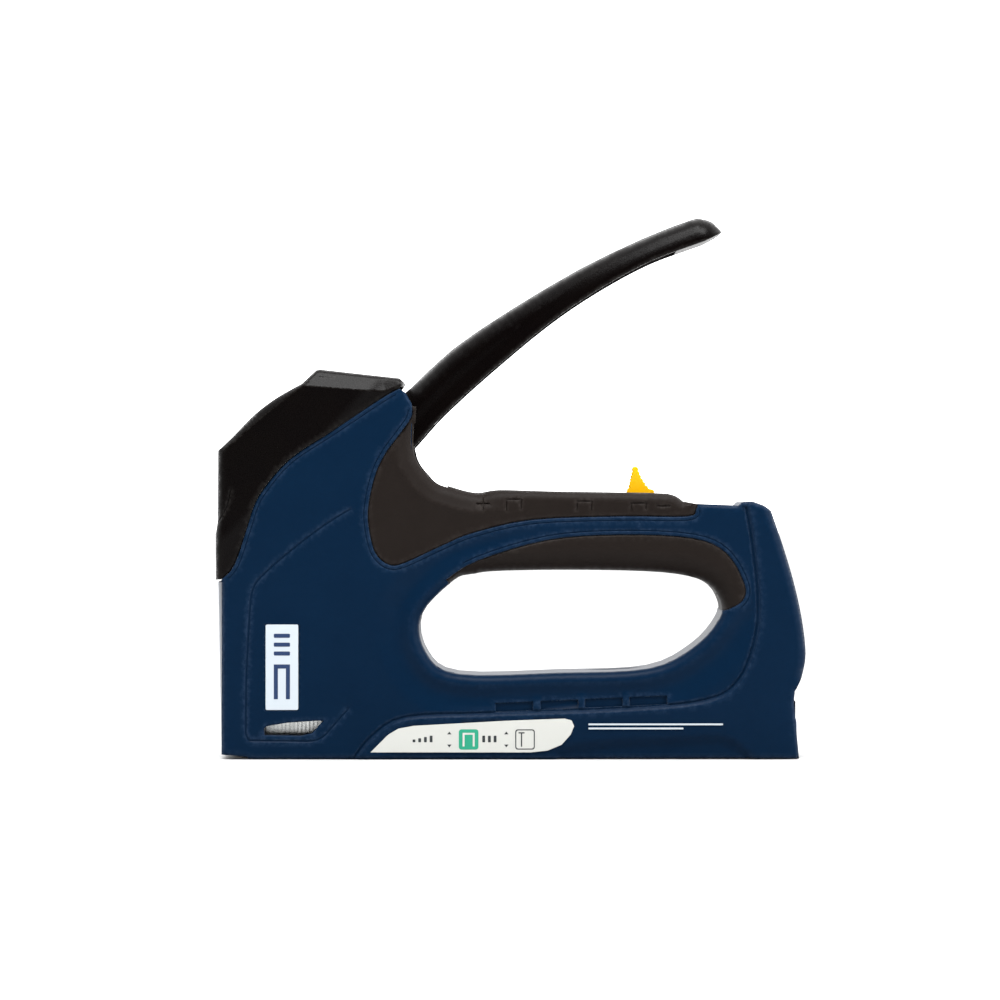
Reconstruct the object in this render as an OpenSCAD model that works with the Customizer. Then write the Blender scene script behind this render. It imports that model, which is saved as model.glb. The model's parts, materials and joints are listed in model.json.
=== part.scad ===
// Hand staple gun: die-cast halves, squeeze lever, leaf-spring drive, front-feed magazine.
// X runs from the nose (-) to the rear (+), Y is the width, Z is up and the base rests on Z = 0.

/* [Overall] */
// Width across the two body halves
body_w = 36; // [32:0.5:44]
// Length of the finger opening
grip_l = 95.5; // [85:0.5:115]
// Height of the finger opening
grip_h = 33; // [28:0.5:40]

/* [Walls] */
// Side wall beside the lever slot
side_wall = 4.4; // [3:0.1:5.5]
// Wall of the head cap
cap_wall = 2.2; // [1.6:0.1:2.4]
// Thickness of the soft grip pads
pad_t = 2.5; // [1.5:0.1:3]
// How far the rear block stands proud of the sides
rear_step = 0.8; // [0.4:0.1:1.2]

/* [Fits] */
// Radial clearance of a running fit
run_gap = 0.05; // [0.02:0.01:0.1]
// Gap between parts that pass each other
move_gap = 0.5; // [0.3:0.05:0.8]
// Width of the seam between a pad and the body
seam = 0.1; // [0.05:0.05:0.5]

/* [Lever] */
// Angle the lever swings through
lever_travel = 34; // [28:1:34]
// Radius of the lever pivot pin
pivot_r = 3; // [2.4:0.1:4]
// Side wall of the lever
lever_wall = 2; // [1.6:0.1:2.4]
// Top wall of the lever
lever_top = 3; // [2:0.1:4]
// Thickness of one steel cheek of the lift arm
cheek_t = 2; // [1.5:0.1:2.4]
// Wire of the lever return spring
coil_wire = 1; // [0.8:0.1:1.2]

/* [Staples] */
// Crown width of one staple
crown_w = 10.6; // [9:0.1:13]
// Leg length of one staple
leg_l = 14; // [8:0.5:14.5]
// Wire thickness of one staple
wire_t = 0.7; // [0.5:0.05:1]
// Pitch of the staples in the stick
staple_pitch = 1.27; // [1:0.01:1.6]
// Staples in the stick
staple_count = 40; // [10:1:60]

/* [Drive] */
// Stroke of the hammer
stroke = 16.5; // [14:0.5:17]
// Thickness of the driver blade
blade_t = 1.2; // [0.8:0.1:1.3]
// Radius of the lift roller
roller_r = 2.5; // [2:0.1:2.8]
// Thickness of one spring leaf
leaf_t = 1.2; // [0.8:0.1:1.4]
// Width of the spring leaves
leaf_w = 12; // [9:0.5:14]

/* [Adjuster] */
// Travel of the force adjuster
adjust_travel = 39; // [30:1:40]
// Width of the thumb piece where it crosses the slot
thumb_w = 4.4; // [3:0.1:6]

/* [Magazine] */
// Radius of the pusher guide rod
rod_r = 1.5; // [1:0.1:1.6]
// Travel of the magazine pulled out of the rear
magazine_travel = 90; // [60:5:110]
// Travel of the pusher along the rail
pusher_travel = 55; // [30:1:60]
// Travel of the catch button
catch_travel = 2; // [1:0.5:3]

/* [Screws] */
// Radius of the housing screw shanks
screw_r = 2; // [1.5:0.1:2.2]
// Radius of the housing screw heads
screw_head_r = 3.4; // [3:0.1:4]

/* [Hidden] */

$fn = 64;
blue = "#1c2c4f";
black = "#201d1b";
steel = "#b9bcc0";

// The outlines are drawn at this opening size and stretched across it when it changes.
drawn_l = 95.5;
drawn_h = 33;
extra_l = grip_l - drawn_l;
extra_h = grip_h - drawn_h;
function ramp(v, low, high) = min(1, max(0, (v - low) / (high - low)));
function xs(x) = x + extra_l * (ramp(x, -18, 60) - 0.5);
function zs(z) = z + extra_h * ramp(z, 27, 56);
function at(p) = [xs(p[0]), zs(p[1])];

half = body_w / 2;
skin_y = half - rear_step;
core_y = skin_y - pad_t;
slot_y = half - side_wall;
lever_y = slot_y - move_gap;
cut = 1;

// Curve through control points, and the same curve moved sideways.
curve_steps = 4;
function curve_point(a, b, c, d, t) =
  0.5 * (2 * b + (c - a) * t + (2 * a - 5 * b + 4 * c - d) * t * t
  + (3 * b - a - 3 * c + d) * t * t * t);
function smooth(p, steps = curve_steps) = [
  for (i = [0:len(p) - 2], k = [0:steps - 1])
    curve_point(p[max(0, i - 1)], p[i], p[i + 1], p[min(len(p) - 1, i + 2)], k / steps),
  p[len(p) - 1]
];
function ring(p, steps = curve_steps) = [
  for (i = [0:len(p) - 1], k = [0:steps - 1])
    let (n = len(p))
    curve_point(p[(i + n - 1) % n], p[i], p[(i + 1) % n], p[(i + 2) % n], k / steps)
];
function placed(p) = [for (q = p) at(q)];
function side(a, b) = let (t = (b - a) / norm(b - a)) [-t[1], t[0]];
function shift_open(p, d) = [
  for (i = [0:len(p) - 1]) p[i] + d * side(p[max(0, i - 1)], p[min(len(p) - 1, i + 1)])
];
function shift_ring(p, d) = [
  for (i = [0:len(p) - 1])
    let (n = len(p))
    p[i] + d * side(p[(i + n - 1) % n], p[(i + 1) % n])
];
function reversed(p) = [for (i = [len(p) - 1:-1:0]) p[i]];

// Side outlines, as [x, z].
cap_front = [[-93.4, 56.6], [-93.4, 71.2], [-92.8, 75.4], [-92.7, 97.4]];
cap_roof = smooth([[-91.5, 98.4], [-87.7, 102.1], [-80.7, 109.2], [-73.7, 114.4], [-66.1, 118.6]]);
cap_crest = [[-61.6, 123], [-60.2, 123.2], [-35.2, 120.4], [-33.8, 119.1]];
cap_outer = placed(concat(cap_front, cap_roof, cap_crest));
cap_seam = placed(smooth([
  [-91.5, 56.6], [-87.3, 61.3], [-83, 74], [-81.2, 79.6], [-78.4, 84.8], [-69.9, 94.6],
  [-56.3, 103.6], [-40.8, 113.9], [-35.2, 117]
]));
pad_seam = placed(smooth([
  [-31.2, 111.5], [-31.6, 107.8], [-35.2, 102.6], [-39.9, 96.1], [-43.1, 89], [-45.2, 78], [-44.1, 68.8],
  [-42.2, 64.1], [-38.5, 61.3], [-33.8, 61.8], [-21.5, 67.5], [-12.1, 71.3], [6.7, 75.5], [34.6, 76.6],
  [55.7, 76.6], [58.6, 78.9], [59.1, 80.6]
]));
saddle = placed(smooth([
  [54.5, 81.5], [53.2, 82.6], [50.6, 83.7], [46, 84.1], [30, 84.4], [11.6, 84.7], [-3.7, 85.1],
  [-11.2, 84.2], [-19.6, 86.3], [-23.4, 87.7],
  [-26.2, 90.5], [-29, 94.2], [-30.1, 99.1], [-29.9, 111.5]
]));
rear_line = placed(concat(
  [[91.2, 0], [89.6, 18], [89.9, 21.3]],
  smooth([[92.2, 25.9], [93.4, 33], [92.2, 44.1], [89.6, 55.9], [86.3, 67], [82.4, 78.4]]),
  [[80.1, 80.1], [76.5, 81.4], [73, 81.2], [72, 80.1]]
));
head_tip = placed([[-33.3, 115.8], [-31.4, 112.5]]);
nose_line = placed([[-91.4, 55.7], [-91.5, 1.3], [-83.3, 0.6], [-82.9, 0]]);
body_side = concat(rear_line, reversed(pad_seam), reversed(head_tip), reversed(cap_seam), nose_line);
opening_side = placed(ring([
  [-18.2, 56.2], [-12.1, 58.3], [-2.8, 59.3], [22.2, 59.6], [48.4, 58.8], [61.5, 55.9], [66.4, 50],
  [66, 44.3], [58.3, 35.6], [43.9, 28.6], [15.8, 27.2], [-16.5, 26.8], [-26.6, 33.3], [-28.4, 45.2]
]));
upper_pad_side = concat(pad_seam, saddle);
lower_pad_side = placed(concat(
  smooth([
    [68.7, 47.1], [73.3, 50], [73.9, 55.2], [68.1, 65.1], [57.4, 69.8], [34.6, 70.9], [11.6, 69.2],
    [-10.6, 62.6], [-20.5, 56.6]
  ]),
  [[-15, 50], [58, 45.5]]
));
rear_block_side = concat(rear_line, placed(smooth([
  [74.3, 79.4], [76.2, 68.3], [77.9, 52], [77.2, 38.9], [72, 25.2], [61.5, 18.7], [35.4, 16.1],
  [-6.8, 14.6], [-33.4, 13.3], [-44, 7.2], [-49.8, 0]
])));
window_side = placed([
  [-78, 9.4], [-77.3, 10.3], [-70.5, 11.4], [-61.9, 12], [-59.3, 12], [-62.8, 8.1], [-66.2, 7.3],
  [-77.8, 7.5]
]);
label_side = placed([
  [-44.3, 2.1], [-38.7, 7.7], [-35.5, 9.6], [-30.7, 10.5], [-1.5, 12.1], [17, 12.8], [19.2, 12.2],
  [20, 10.4], [18.9, 7.7], [16, 4.5], [11.7, 2.7], [6.4, 2.1]
]);
badge_side = placed([[-77.6, 15.4], [-67, 15.4], [-67, 42.5], [-77.6, 42.5]]);
scallop_side = placed([
  [15.8, 1.8], [31.7, 3.6], [52.9, 4.6], [65.7, 5.2], [69.4, 4.1], [75.8, -cut], [15.8, -cut]
]);
slots_x = [-4.7, 9.6, 23.6, 37.7];
slot_l = 11.7;
slot_h = 2.6;
slot_depth = 2.2;

// Staples and magazine.
staple_low = 2;
staple_top = staple_low + leg_l;
stick_front = xs(-89.4);
stick_l = staple_count * staple_pitch;
stick_back = stick_front + stick_l;
rail_gap = 0.3;
rail_y = crown_w / 2 - wire_t - rail_gap;
rail_wall = 1;
rail_low = staple_low + 2;
rail_high = staple_top - wire_t - rail_gap;
rail_front = stick_front + 1.4;
channel_y = crown_w / 2 + 1.2;
channel_high = staple_top + 1.4;
channel_back = xs(92);
exit_y = crown_w / 2 + 0.3;
rail_back = xs(76);
end_back = xs(90.6);
end_y = crown_w / 2 + 3.2;
end_low = 1.2;
end_high = channel_high + 0.6;
rod_z = (rail_low + rail_high) / 2 - 0.4;
bar_low = staple_low + 0.2;
bar_high = rail_low - 0.5;
pusher_front = stick_back + 0.3;
pusher_l = 12;
post_l = 5;
rod_front = rail_front + 6;
rod_back = rail_back + 4;
button_r = 3;
button_back = end_back + 0.8;
button_front = end_back - 7;
button_pocket = 3.4;

// Hammer, blade and lift arm.
blade_front = xs(-90.8);
blade_back = blade_front + blade_t;
blade_low = 1.5;
arm_down = 35;
arm_r = stroke / (sin(arm_down) - sin(arm_down - lever_travel));
pivot = at([-55, 93]);
roller = pivot + arm_r * [-cos(arm_down), -sin(arm_down)];
roller_swing = arm_r * (cos(arm_down - lever_travel) - cos(arm_down));
hammer_y = crown_w / 2 - 0.1;
cheek_y = hammer_y + move_gap;
ledge_low = roller[1] + roller_r + 0.1;
ledge_t = 2.5;
jaw_high = roller[1] - roller_r - 1.2;
plate_back = min(roller[0] - roller_swing - roller_r - 0.4, blade_back + 2.2);
hammer_low = jaw_high - 13.2;
hammer_back = roller[0] - 0.7;
ledge_back = roller[0] + roller_r + 1.5;
leaf_tip = [blade_back + 3.6, jaw_high - 7.2];
leaf_root = at([59, 70.3]);
leaf_slot = 3;
leaf_rise = (leaf_root[1] - leaf_tip[1]) / (leaf_root[0] - leaf_tip[0]);
leaf_angle = atan(leaf_rise);
function leaf_z(x) = leaf_tip[1] + (x - leaf_tip[0]) * leaf_rise;
buffer_t = 3.2;
head_floor = hammer_low - 0.1 - buffer_t;
hub_r = pivot_r + 4.5;
arm_end_r = roller_r + 0.7;
tail = at([-26.4, 109]);
tail_r = 3.5;
tail_root_r = pivot_r + 1.5;
rivet_r = 2;
roller_pin_r = 1.2;

// Adjuster.
shoe_x = xs(33.5);
shoe_l = 14;
shoe_low = leaf_z(shoe_x + shoe_l) + leaf_t / 2 + 0.5;
roof_low = zs(78.4);
shoe_high = roof_low - 0.3;
shoe_y = leaf_w / 2 + 0.8;
channel_half = shoe_y + move_gap;
thumb_x = xs(37);
thumb_l = 9;
thumb_base_z = zs(84);
adjust_slot_front = thumb_x - adjust_travel - 1;
adjust_slot_back = thumb_x + thumb_l + 1;
clamp_x = shoe_x + shoe_l + 1.5;
clamp_l = leaf_root[0] - clamp_x + 2;

// Screws: [x, z] in solid bosses.
screw_places = [
  at([-84, 48]), at([-50, 47]), at([-58, 24.5]), at([-12, 22]), at([54, 23.2]), at([81, 36]), at([77, 68])
];
boss_r = screw_head_r + 1.4;
head_sink = 0.4;
head_h = 2.2;

module slab(y0, y1) {
  translate([0, y1, 0]) rotate([90, 0, 0]) linear_extrude(y1 - y0) children();
}
module block(low, high) {
  translate(low) cube(high - low);
}
module bar_y(place, r, y0, y1) {
  translate([place[0], y0, place[1]]) rotate([-90, 0, 0]) cylinder(r = r, h = y1 - y0);
}
module bar_x(x0, x1, r, y, z) {
  translate([x0, y, z]) rotate([0, 90, 0]) cylinder(r = r, h = x1 - x0);
}
// Flat link: two round ends and the strip between their tangents.
module link(a, ra, b, rb) {
  d = norm(b - a);
  u = (b - a) / d;
  lean = (ra - rb) / d;
  up = sqrt(1 - lean * lean);
  na = [u[0] * lean - u[1] * up, u[1] * lean + u[0] * up];
  nb = [u[0] * lean + u[1] * up, u[1] * lean - u[0] * up];
  translate(a) circle(r = ra);
  translate(b) circle(r = rb);
  polygon([a + ra * nb, b + rb * nb, b + rb * na, a + ra * na]);
}
// Round wire swept along a list of points.
module wire(path, r, sides = 8) {
  n = len(path);
  rings = [
    for (i = [0:n - 1])
      let (
        t = path[min(n - 1, i + 1)] - path[max(0, i - 1)],
        d = t / norm(t),
        a = cross(d, abs(d[0]) < 0.9 ? [1, 0, 0] : [0, 1, 0]),
        u = a / norm(a),
        v = cross(d, u)
      )
      for (k = [0:sides - 1]) path[i] + r * (cos(360 * k / sides) * u + sin(360 * k / sides) * v)
  ];
  walls = [
    for (i = [0:n - 2], k = [0:sides - 1], half_quad = [0, 1])
      let (j = (k + 1) % sides, low = i * sides, high = low + sides)
      half_quad == 0 ? [low + k, low + j, high + j] : [low + k, high + j, high + k]
  ];
  first = [for (k = [sides - 1:-1:0]) k];
  last = [for (k = [0:sides - 1]) (n - 1) * sides + k];
  polyhedron(rings, concat(walls, [first, last]));
}

// The hollow of the head and the lever slot above it.
module head_hollow() {
  low_x = blade_front - 0.4;
  slot_x = xs(-20);
  polygon([
    [low_x, head_floor], [xs(-40), head_floor], [xs(-36), leaf_z(xs(-36)) - 5], [xs(-36), zs(80)],
    [slot_x, zs(82.5)], [slot_x, zs(135)], [low_x, zs(135)]
  ]);
}
// The run of the leaf spring and the fulcrum shoe through the handle.
module handle_hollow() {
  polygon([
    [xs(-38), leaf_z(xs(-38)) - 5], [xs(-10), leaf_z(xs(-10)) - 3.2],
    [leaf_root[0] + 3, leaf_z(leaf_root[0]) - 3.6], [leaf_root[0] + 3, roof_low],
    [adjust_slot_front - 5, roof_low], [xs(-38), zs(81)]
  ]);
}
module front_pocket() {
  polygon([
    [xs(-86), channel_high + 3], [xs(-34), channel_high + 3], [xs(-34), zs(30)],
    [xs(-46), head_floor - 3.4],
    [xs(-86), head_floor - 3.4]
  ]);
}
module rear_pocket() {
  polygon(placed([[70, 27], [84.5, 25], [88.5, 34], [85, 54], [80.5, 72], [74, 74], [77, 58], [75, 44]]));
}
module upper_core() {
  intersection() {
    polygon(upper_pad_side);
    translate([-0.5 * pad_t, -pad_t]) polygon(upper_pad_side);
  }
}
module lower_core() {
  difference() {
    polygon(lower_pad_side);
    polygon(shift_ring(opening_side, pad_t));
  }
}
module solid_half() {
  slab(0, skin_y) polygon(body_side);
  slab(0, half) polygon(rear_block_side);
  slab(0, core_y) upper_core();
}
module pad_pockets() {
  slab(core_y, half + cut) polygon(lower_pad_side);
  slab(-cut, half + cut) difference() {
    polygon(lower_pad_side);
    lower_core();
  }
}
module magazine_channel() {
  block([blade_front - 0.4, -cut, -cut], [blade_back + 0.2, exit_y, head_floor + cut]);
  block([stick_front - 0.4, -cut, 1.2], [channel_back, channel_y, channel_high]);
  block([stick_front - 0.4, -cut, -cut], [xs(30), exit_y, 1.2 + cut]);
  block([rail_back - 0.3, -cut, end_low - 0.3], [channel_back, end_y + 0.3, end_high + 0.3]);
}
module body_half() {
  difference() {
    solid_half();
    pad_pockets();
    slab(-cut, half + cut) polygon(opening_side);
    slab(-cut, slot_y) head_hollow();
    slab(-cut, channel_half) handle_hollow();
    difference() {
      slab(-cut, half - 3) front_pocket();
      slab(-cut, half) for (p = screw_places) translate(p) circle(r = boss_r);
    }
    difference() {
      slab(-cut, half - 3) rear_pocket();
      slab(-cut, half) for (p = screw_places) translate(p) circle(r = boss_r);
    }
    magazine_channel();
    block([adjust_slot_front, -cut, roof_low - cut], [adjust_slot_back, thumb_w / 2 + 0.3, zs(90)]);
    slab(-cut, half + cut) polygon(window_side);
    block([xs(-96), -cut, -cut], [blade_front - 0.4, 11.1, zs(56.2)]);
    bar_y(pivot, pivot_r + 0.02, slot_y - cut, half - 1.4);
    slab(half - 0.35, half + cut) polygon(label_side);
    slab(skin_y - 0.35, half) polygon(badge_side);
    slab(half - 1.2, half + cut) polygon(scallop_side);
    for (x = slots_x) slab(half - slot_depth, half + cut)
      translate(at([x, 14.9 + 0.045 * (x + 4.7)])) rotate(2.4) square([slot_l, slot_h]);
  }
}
module left_side() {
  mirror([0, 1, 0]) children();
}
module body_left() {
  color(blue) left_side() difference() {
    body_half();
    for (p = screw_places) bar_y(p, screw_r, -cut, half - 5);
  }
}
module body_right() {
  color(blue) difference() {
    body_half();
    for (p = screw_places) {
      bar_y(p, screw_r + 0.1, -cut, half);
      bar_y(p, screw_head_r + 0.2, screw_seat(p), half + cut);
    }
  }
}
function screw_seat(p) = (p[1] < zs(46) && p[0] < xs(70) ? skin_y : half) - head_sink - head_h;
module housing_screws() {
  color(steel) for (p = screw_places) difference() {
    union() {
      bar_y(p, screw_head_r, screw_seat(p), screw_seat(p) + head_h);
      bar_y(p, screw_r, -(half - 5.5), screw_seat(p) + 0.1);
    }
    translate([p[0], screw_seat(p) + head_h - 1.1, p[1]]) rotate([-90, 0, 0])
      cylinder(r = 1.6, h = 2, $fn = 6);
  }
}
module head_cap() {
  cap_y = half - rear_step / 2;
  inner = shift_open(cap_outer, -cap_wall);
  color(black) difference() {
    slab(-cap_y, cap_y) polygon(concat(cap_outer, reversed(shift_open(cap_seam, seam))));
    slab(-cap_y + cap_wall, cap_y - cap_wall)
      polygon(concat([[blade_front - 0.4, zs(50)], [blade_front - 0.4, zs(94.5)]],
        [for (i = [len(cap_front):len(inner) - 2]) inner[i]],
        placed([[-30, 118.2], [-30, 50]])));
  }
}
module nose_plate() {
  color(steel) slab(-11, 11)
    polygon([at([-92.9, 56]), at([-91.9, 1.3]), [blade_front - 0.4, 1.3], [blade_front - 0.4, zs(56)]]);
}
module upper_grip() {
  difference() {
    slab(0, skin_y - 0.1) polygon(shift_ring(upper_pad_side, seam));
    slab(-cut, core_y) translate([-0.5 * pad_t, -pad_t]) polygon(upper_pad_side);
    slab(-cut, slot_y) head_hollow();
    slab(-cut, channel_half) handle_hollow();
    block([adjust_slot_front, -cut, zs(70)], [adjust_slot_back, thumb_w / 2 + 0.3, zs(90)]);
  }
}
module upper_grip_left() {
  color(black) left_side() upper_grip();
}
module upper_grip_right() {
  color(black) upper_grip();
}
module lower_grip() {
  difference() {
    slab(0, skin_y - 0.1) polygon(shift_ring(lower_pad_side, seam));
    slab(-cut, core_y) difference() {
      polygon(shift_ring(lower_pad_side, -seam));
      polygon(shift_ring(opening_side, pad_t));
    }
    slab(-cut, half + cut) polygon(opening_side);
  }
}
module lower_grip_left() {
  color(black) left_side() lower_grip();
}
module lower_grip_right() {
  color(black) lower_grip();
}
module label_plate() {
  slab(half - 0.35, half - 0.05) polygon(label_side);
}
module label_left() {
  color("#d2d3cf") left_side() label_plate();
}
module label_right() {
  color("#d2d3cf") label_plate();
}
module badge_plate() {
  slab(skin_y - 0.35, skin_y - 0.05) polygon(shift_ring(badge_side, 0.15));
}
module badge_left() {
  color("#e6e7e8") left_side() badge_plate();
}
module badge_right() {
  color("#e6e7e8") badge_plate();
}

// Squeeze lever: a channel open below, with cheeks that reach the pivot pin.
// Points put between two points of the lever's lines
lever_steps = 2;
// How much thinner the top wall is where the lift arm passes under it
root_relief = 1.2;
lever_over = placed(smooth([
  [67.3, 167.1], [64.3, 170.2], [60.9, 171.3], [57.5, 171.1], [42, 165.1], [21.9, 155.4], [-0.4, 142.2],
  [-18.6, 129.8], [-32.4, 117], [-44, 107]
], lever_steps));
lever_under = placed(smooth([
  [-37, 92.5], [-30.1, 99.1], [-21.9, 108.2], [-8.4, 120.7], [11.7, 137.5], [28.6, 149], [45.4, 158],
  [61.6, 163.9], [67.3, 167.1]
], lever_steps));
module lever() {
  over_start = 1.5 * lever_steps;
  under_end = len(lever_under) - 1 - 2.5 * lever_steps;
  root = len(lever_over) - 1;
  hollow_over = concat(
    shift_open([for (i = [over_start:root - 1]) lever_over[i]], lever_top),
    [lever_over[root] + (lever_top - root_relief) * side(lever_over[root - 1], lever_over[root])]
  );
  hollow_under = shift_open([for (i = [0:under_end]) lever_under[i]], -4);
  color(black) difference() {
    union() {
      slab(-lever_y, lever_y) polygon(concat(lever_over, lever_under));
      slab(-lever_y, lever_y) link(pivot, hub_r + 1, at([-36, 102.5]), 9.5);
    }
    slab(-lever_y + lever_wall, lever_y - lever_wall)
      polygon(concat(hollow_over, [pivot + [-20, 15], pivot + [-20, -20], pivot + [10, -20]], hollow_under));
    bar_y(pivot, pivot_r + run_gap, -half, half);
    bar_y(tail, rivet_r, -lever_y + lever_wall / 2, lever_y - lever_wall / 2);
  }
}
module lift_arm() {
  color(steel) difference() {
    union() {
      for (s = [0, 1]) mirror([0, s, 0]) slab(cheek_y, cheek_y + cheek_t) {
        link(roller, arm_end_r, pivot, hub_r);
        link(pivot, tail_root_r, tail, tail_r);
      }
      bar_y(pivot, pivot_r + 1.8, -cheek_y - 0.1, cheek_y + 0.1);
    }
    bar_y(pivot, pivot_r + run_gap, -half, half);
    bar_y(roller, roller_pin_r, -half, half);
    bar_y(tail, rivet_r, -half, half);
  }
}
module lever_pin() {
  color(steel) bar_y(pivot, pivot_r, -(half - 1.6), half - 1.6);
}
module lever_rivet() {
  color(steel) bar_y(tail, rivet_r, -lever_y + lever_wall / 2, lever_y - lever_wall / 2);
}
module lift_roller() {
  color(steel) difference() {
    bar_y(roller, roller_r, -cheek_y + 0.3, cheek_y - 0.3);
    bar_y(roller, roller_pin_r + run_gap, -cheek_y, cheek_y);
  }
}
module roller_pin() {
  color(steel) bar_y(roller, roller_pin_r, -(cheek_y + cheek_t + 0.3), cheek_y + cheek_t + 0.3);
}
// Torsion spring on the pivot pin: two turns, one leg to the body and one along the arm.
module lever_spring() {
  coil_r = pivot_r + 1.4;
  y0 = cheek_y + cheek_t + coil_wire / 2 + 0.1;
  turns = 2;
  rise = coil_wire + 0.05;
  coil = [
    for (a = [0:20:360 * turns])
      [pivot[0] + coil_r * sin(a), y0 + rise * a / 360, pivot[1] - coil_r * cos(a)]
  ];
  front = [pivot[0] - 16, y0, pivot[1] - coil_r];
  back = [pivot[0] + 13, y0 + rise * turns, pivot[1] - coil_r + 8];
  color(steel) wire(concat([front], coil, [back]), coil_wire / 2);
}
module hammer() {
  color(steel) difference() {
    union() {
      block([blade_back, -hammer_y, hammer_low], [plate_back, hammer_y, ledge_low + ledge_t - 2.4]);
      block([blade_back, -hammer_y, hammer_low], [hammer_back, hammer_y, jaw_high]);
      slab(-hammer_y, hammer_y) polygon([
        [blade_back, ledge_low - 1], [plate_back, ledge_low - 1], [plate_back, ledge_low],
        [ledge_back, ledge_low], [ledge_back, ledge_low + ledge_t], [plate_back + 2, ledge_low + ledge_t],
        [blade_back, ledge_low + 0.4]
      ]);
    }
    block([plate_back, -half, leaf_tip[1] - leaf_slot / 2],
      [ledge_back, half, leaf_tip[1] + leaf_slot / 2]);
    for (z = rivet_levels) bar_x(blade_front - 1, plate_back + cut, 1, 0, z);
  }
}
rivet_levels = [hammer_low + 2.4, jaw_high + 2];
module driver_blade() {
  color(steel) difference() {
    block([blade_front, -crown_w / 2, blade_low], [blade_back, crown_w / 2, jaw_high + 4.5]);
    for (z = rivet_levels) bar_x(blade_front - 1, plate_back + cut, 1, 0, z);
  }
}
module blade_rivets() {
  color(steel) for (z = rivet_levels) bar_x(blade_front, plate_back, 1, 0, z);
}
module leaf(front_x, level) {
  run = (leaf_root[0] - front_x) / cos(leaf_angle);
  translate([front_x, 0, leaf_z(front_x) + level]) rotate([0, -leaf_angle, 0])
    translate([0, -leaf_w / 2, -leaf_t / 2]) cube([run, leaf_w, leaf_t]);
}
module main_leaf() {
  color(steel) leaf(leaf_tip[0], 0);
}
module helper_leaf() {
  color(steel) leaf(xs(-14), -leaf_t - 0.05);
}
module leaf_clamp() {
  color(steel) difference() {
    block([clamp_x, -channel_half + 0.1, leaf_z(clamp_x) - 3],
      [clamp_x + clamp_l, channel_half - 0.1, roof_low - 0.2]);
    translate([clamp_x - cut, 0, leaf_z(clamp_x - cut)]) rotate([0, -leaf_angle, 0])
      translate([0, -leaf_w / 2 - 0.1, -1.5 * leaf_t - 0.15])
        cube([clamp_l + 5, leaf_w + 0.2, 2 * leaf_t + 0.25]);
  }
}
module buffer() {
  color("#3a3a3a") block([blade_back + 0.4, -hammer_y - 2, head_floor],
    [hammer_back + 2, hammer_y + 2, hammer_low - 0.1]);
}
module adjuster_thumb() {
  crest = thumb_base_z + 8.6;
  color("#f0c515") {
    block([thumb_x, -thumb_w / 2, shoe_high - 3], [thumb_x + thumb_l, thumb_w / 2, thumb_base_z + 1]);
    slab(-thumb_w / 2, thumb_w / 2) polygon([
      [thumb_x, thumb_base_z], [thumb_x + thumb_l, thumb_base_z], [thumb_x + 6.2, thumb_base_z + 3.3],
      [thumb_x + 5, thumb_base_z + 5.2], [thumb_x + 4.1, crest - 0.4], [thumb_x + 3.4, crest],
      [thumb_x + 1.9, crest], [thumb_x + 1.4, crest - 0.5], [thumb_x + 0.5, thumb_base_z + 3.3]
    ]);
  }
}
module fulcrum_shoe() {
  color(steel) difference() {
    union() {
      block([shoe_x, -shoe_y, shoe_low + 1.5], [shoe_x + shoe_l, shoe_y, shoe_high]);
      slab(-shoe_y, shoe_y) translate([shoe_x + shoe_l / 2, shoe_low + 2]) circle(r = 2);
    }
    block([thumb_x, -thumb_w / 2, shoe_high - 3], [thumb_x + thumb_l, thumb_w / 2, shoe_high + cut]);
    block([shoe_x + 1, shoe_y - 1.2, shoe_high - 3], [shoe_x + shoe_l - 1, shoe_y + cut, shoe_high + cut]);
  }
}
// Bowed strip that clicks into the notches beside the shoe.
module detent_spring() {
  bow = 0.5;
  run = shoe_l - 2.6;
  color(steel) translate([shoe_x + 1.3, shoe_y - 1.1, shoe_high - 2.8]) linear_extrude(2.4)
    polygon(concat(
      [for (i = [0:8]) [run * i / 8, bow * sin(180 * i / 8)]],
      [for (i = [8:-1:0]) [run * i / 8, 0.4 + bow * sin(180 * i / 8)]]
    ));
}
module magazine_rail() {
  color(steel) {
    difference() {
      block([rail_front, -rail_y, rail_low], [rail_back + 3, rail_y, rail_high]);
      block([rail_front - cut, -rail_y + rail_wall, rail_low - cut],
        [rail_back + 3 + cut, rail_y - rail_wall, rail_high - rail_wall]);
    }
    difference() {
      block([rail_front, -rail_y + rail_wall, rail_low],
        [rail_front + 2, rail_y - rail_wall, rail_high - rail_wall]);
      bar_x(rail_front - cut, rail_front + 3, rod_r + 0.02, 0, rod_z);
    }
  }
}
module magazine_end() {
  color(black) difference() {
    block([rail_back, -end_y, end_low], [end_back, end_y, end_high]);
    block([rail_back - cut, -rail_y, rail_low], [rail_back + 3, rail_y, rail_high]);
    bar_x(rail_back - cut, rod_back, rod_r + 0.02, 0, rod_z);
    bar_x(button_front - button_pocket, end_back + cut, button_r + run_gap, 0, rod_z);
  }
}
module catch_button() {
  color(blue) bar_x(button_front, button_back, button_r, 0, rod_z);
}
module coil_x(x0, x1, r, wire_r, turns, y, z, steps = 10) {
  wire([
    for (i = [0:turns * steps])
      let (a = 360 * i / steps)
      [x0 + (x1 - x0) * i / (turns * steps), y + r * cos(a), z + r * sin(a)]
  ], wire_r, 6);
}
module catch_spring() {
  color(steel) coil_x(button_front - button_pocket + 0.3, button_front - 0.3, 2.2, 0.25, 4, 0, rod_z);
}
module staple_stick() {
  color("#d9dadc") difference() {
    block([stick_front, -crown_w / 2, staple_low], [stick_back, crown_w / 2, staple_top]);
    block([stick_front - cut, -crown_w / 2 + wire_t, staple_low - cut],
      [stick_back + cut, crown_w / 2 - wire_t, staple_top - wire_t]);
  }
}
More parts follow.
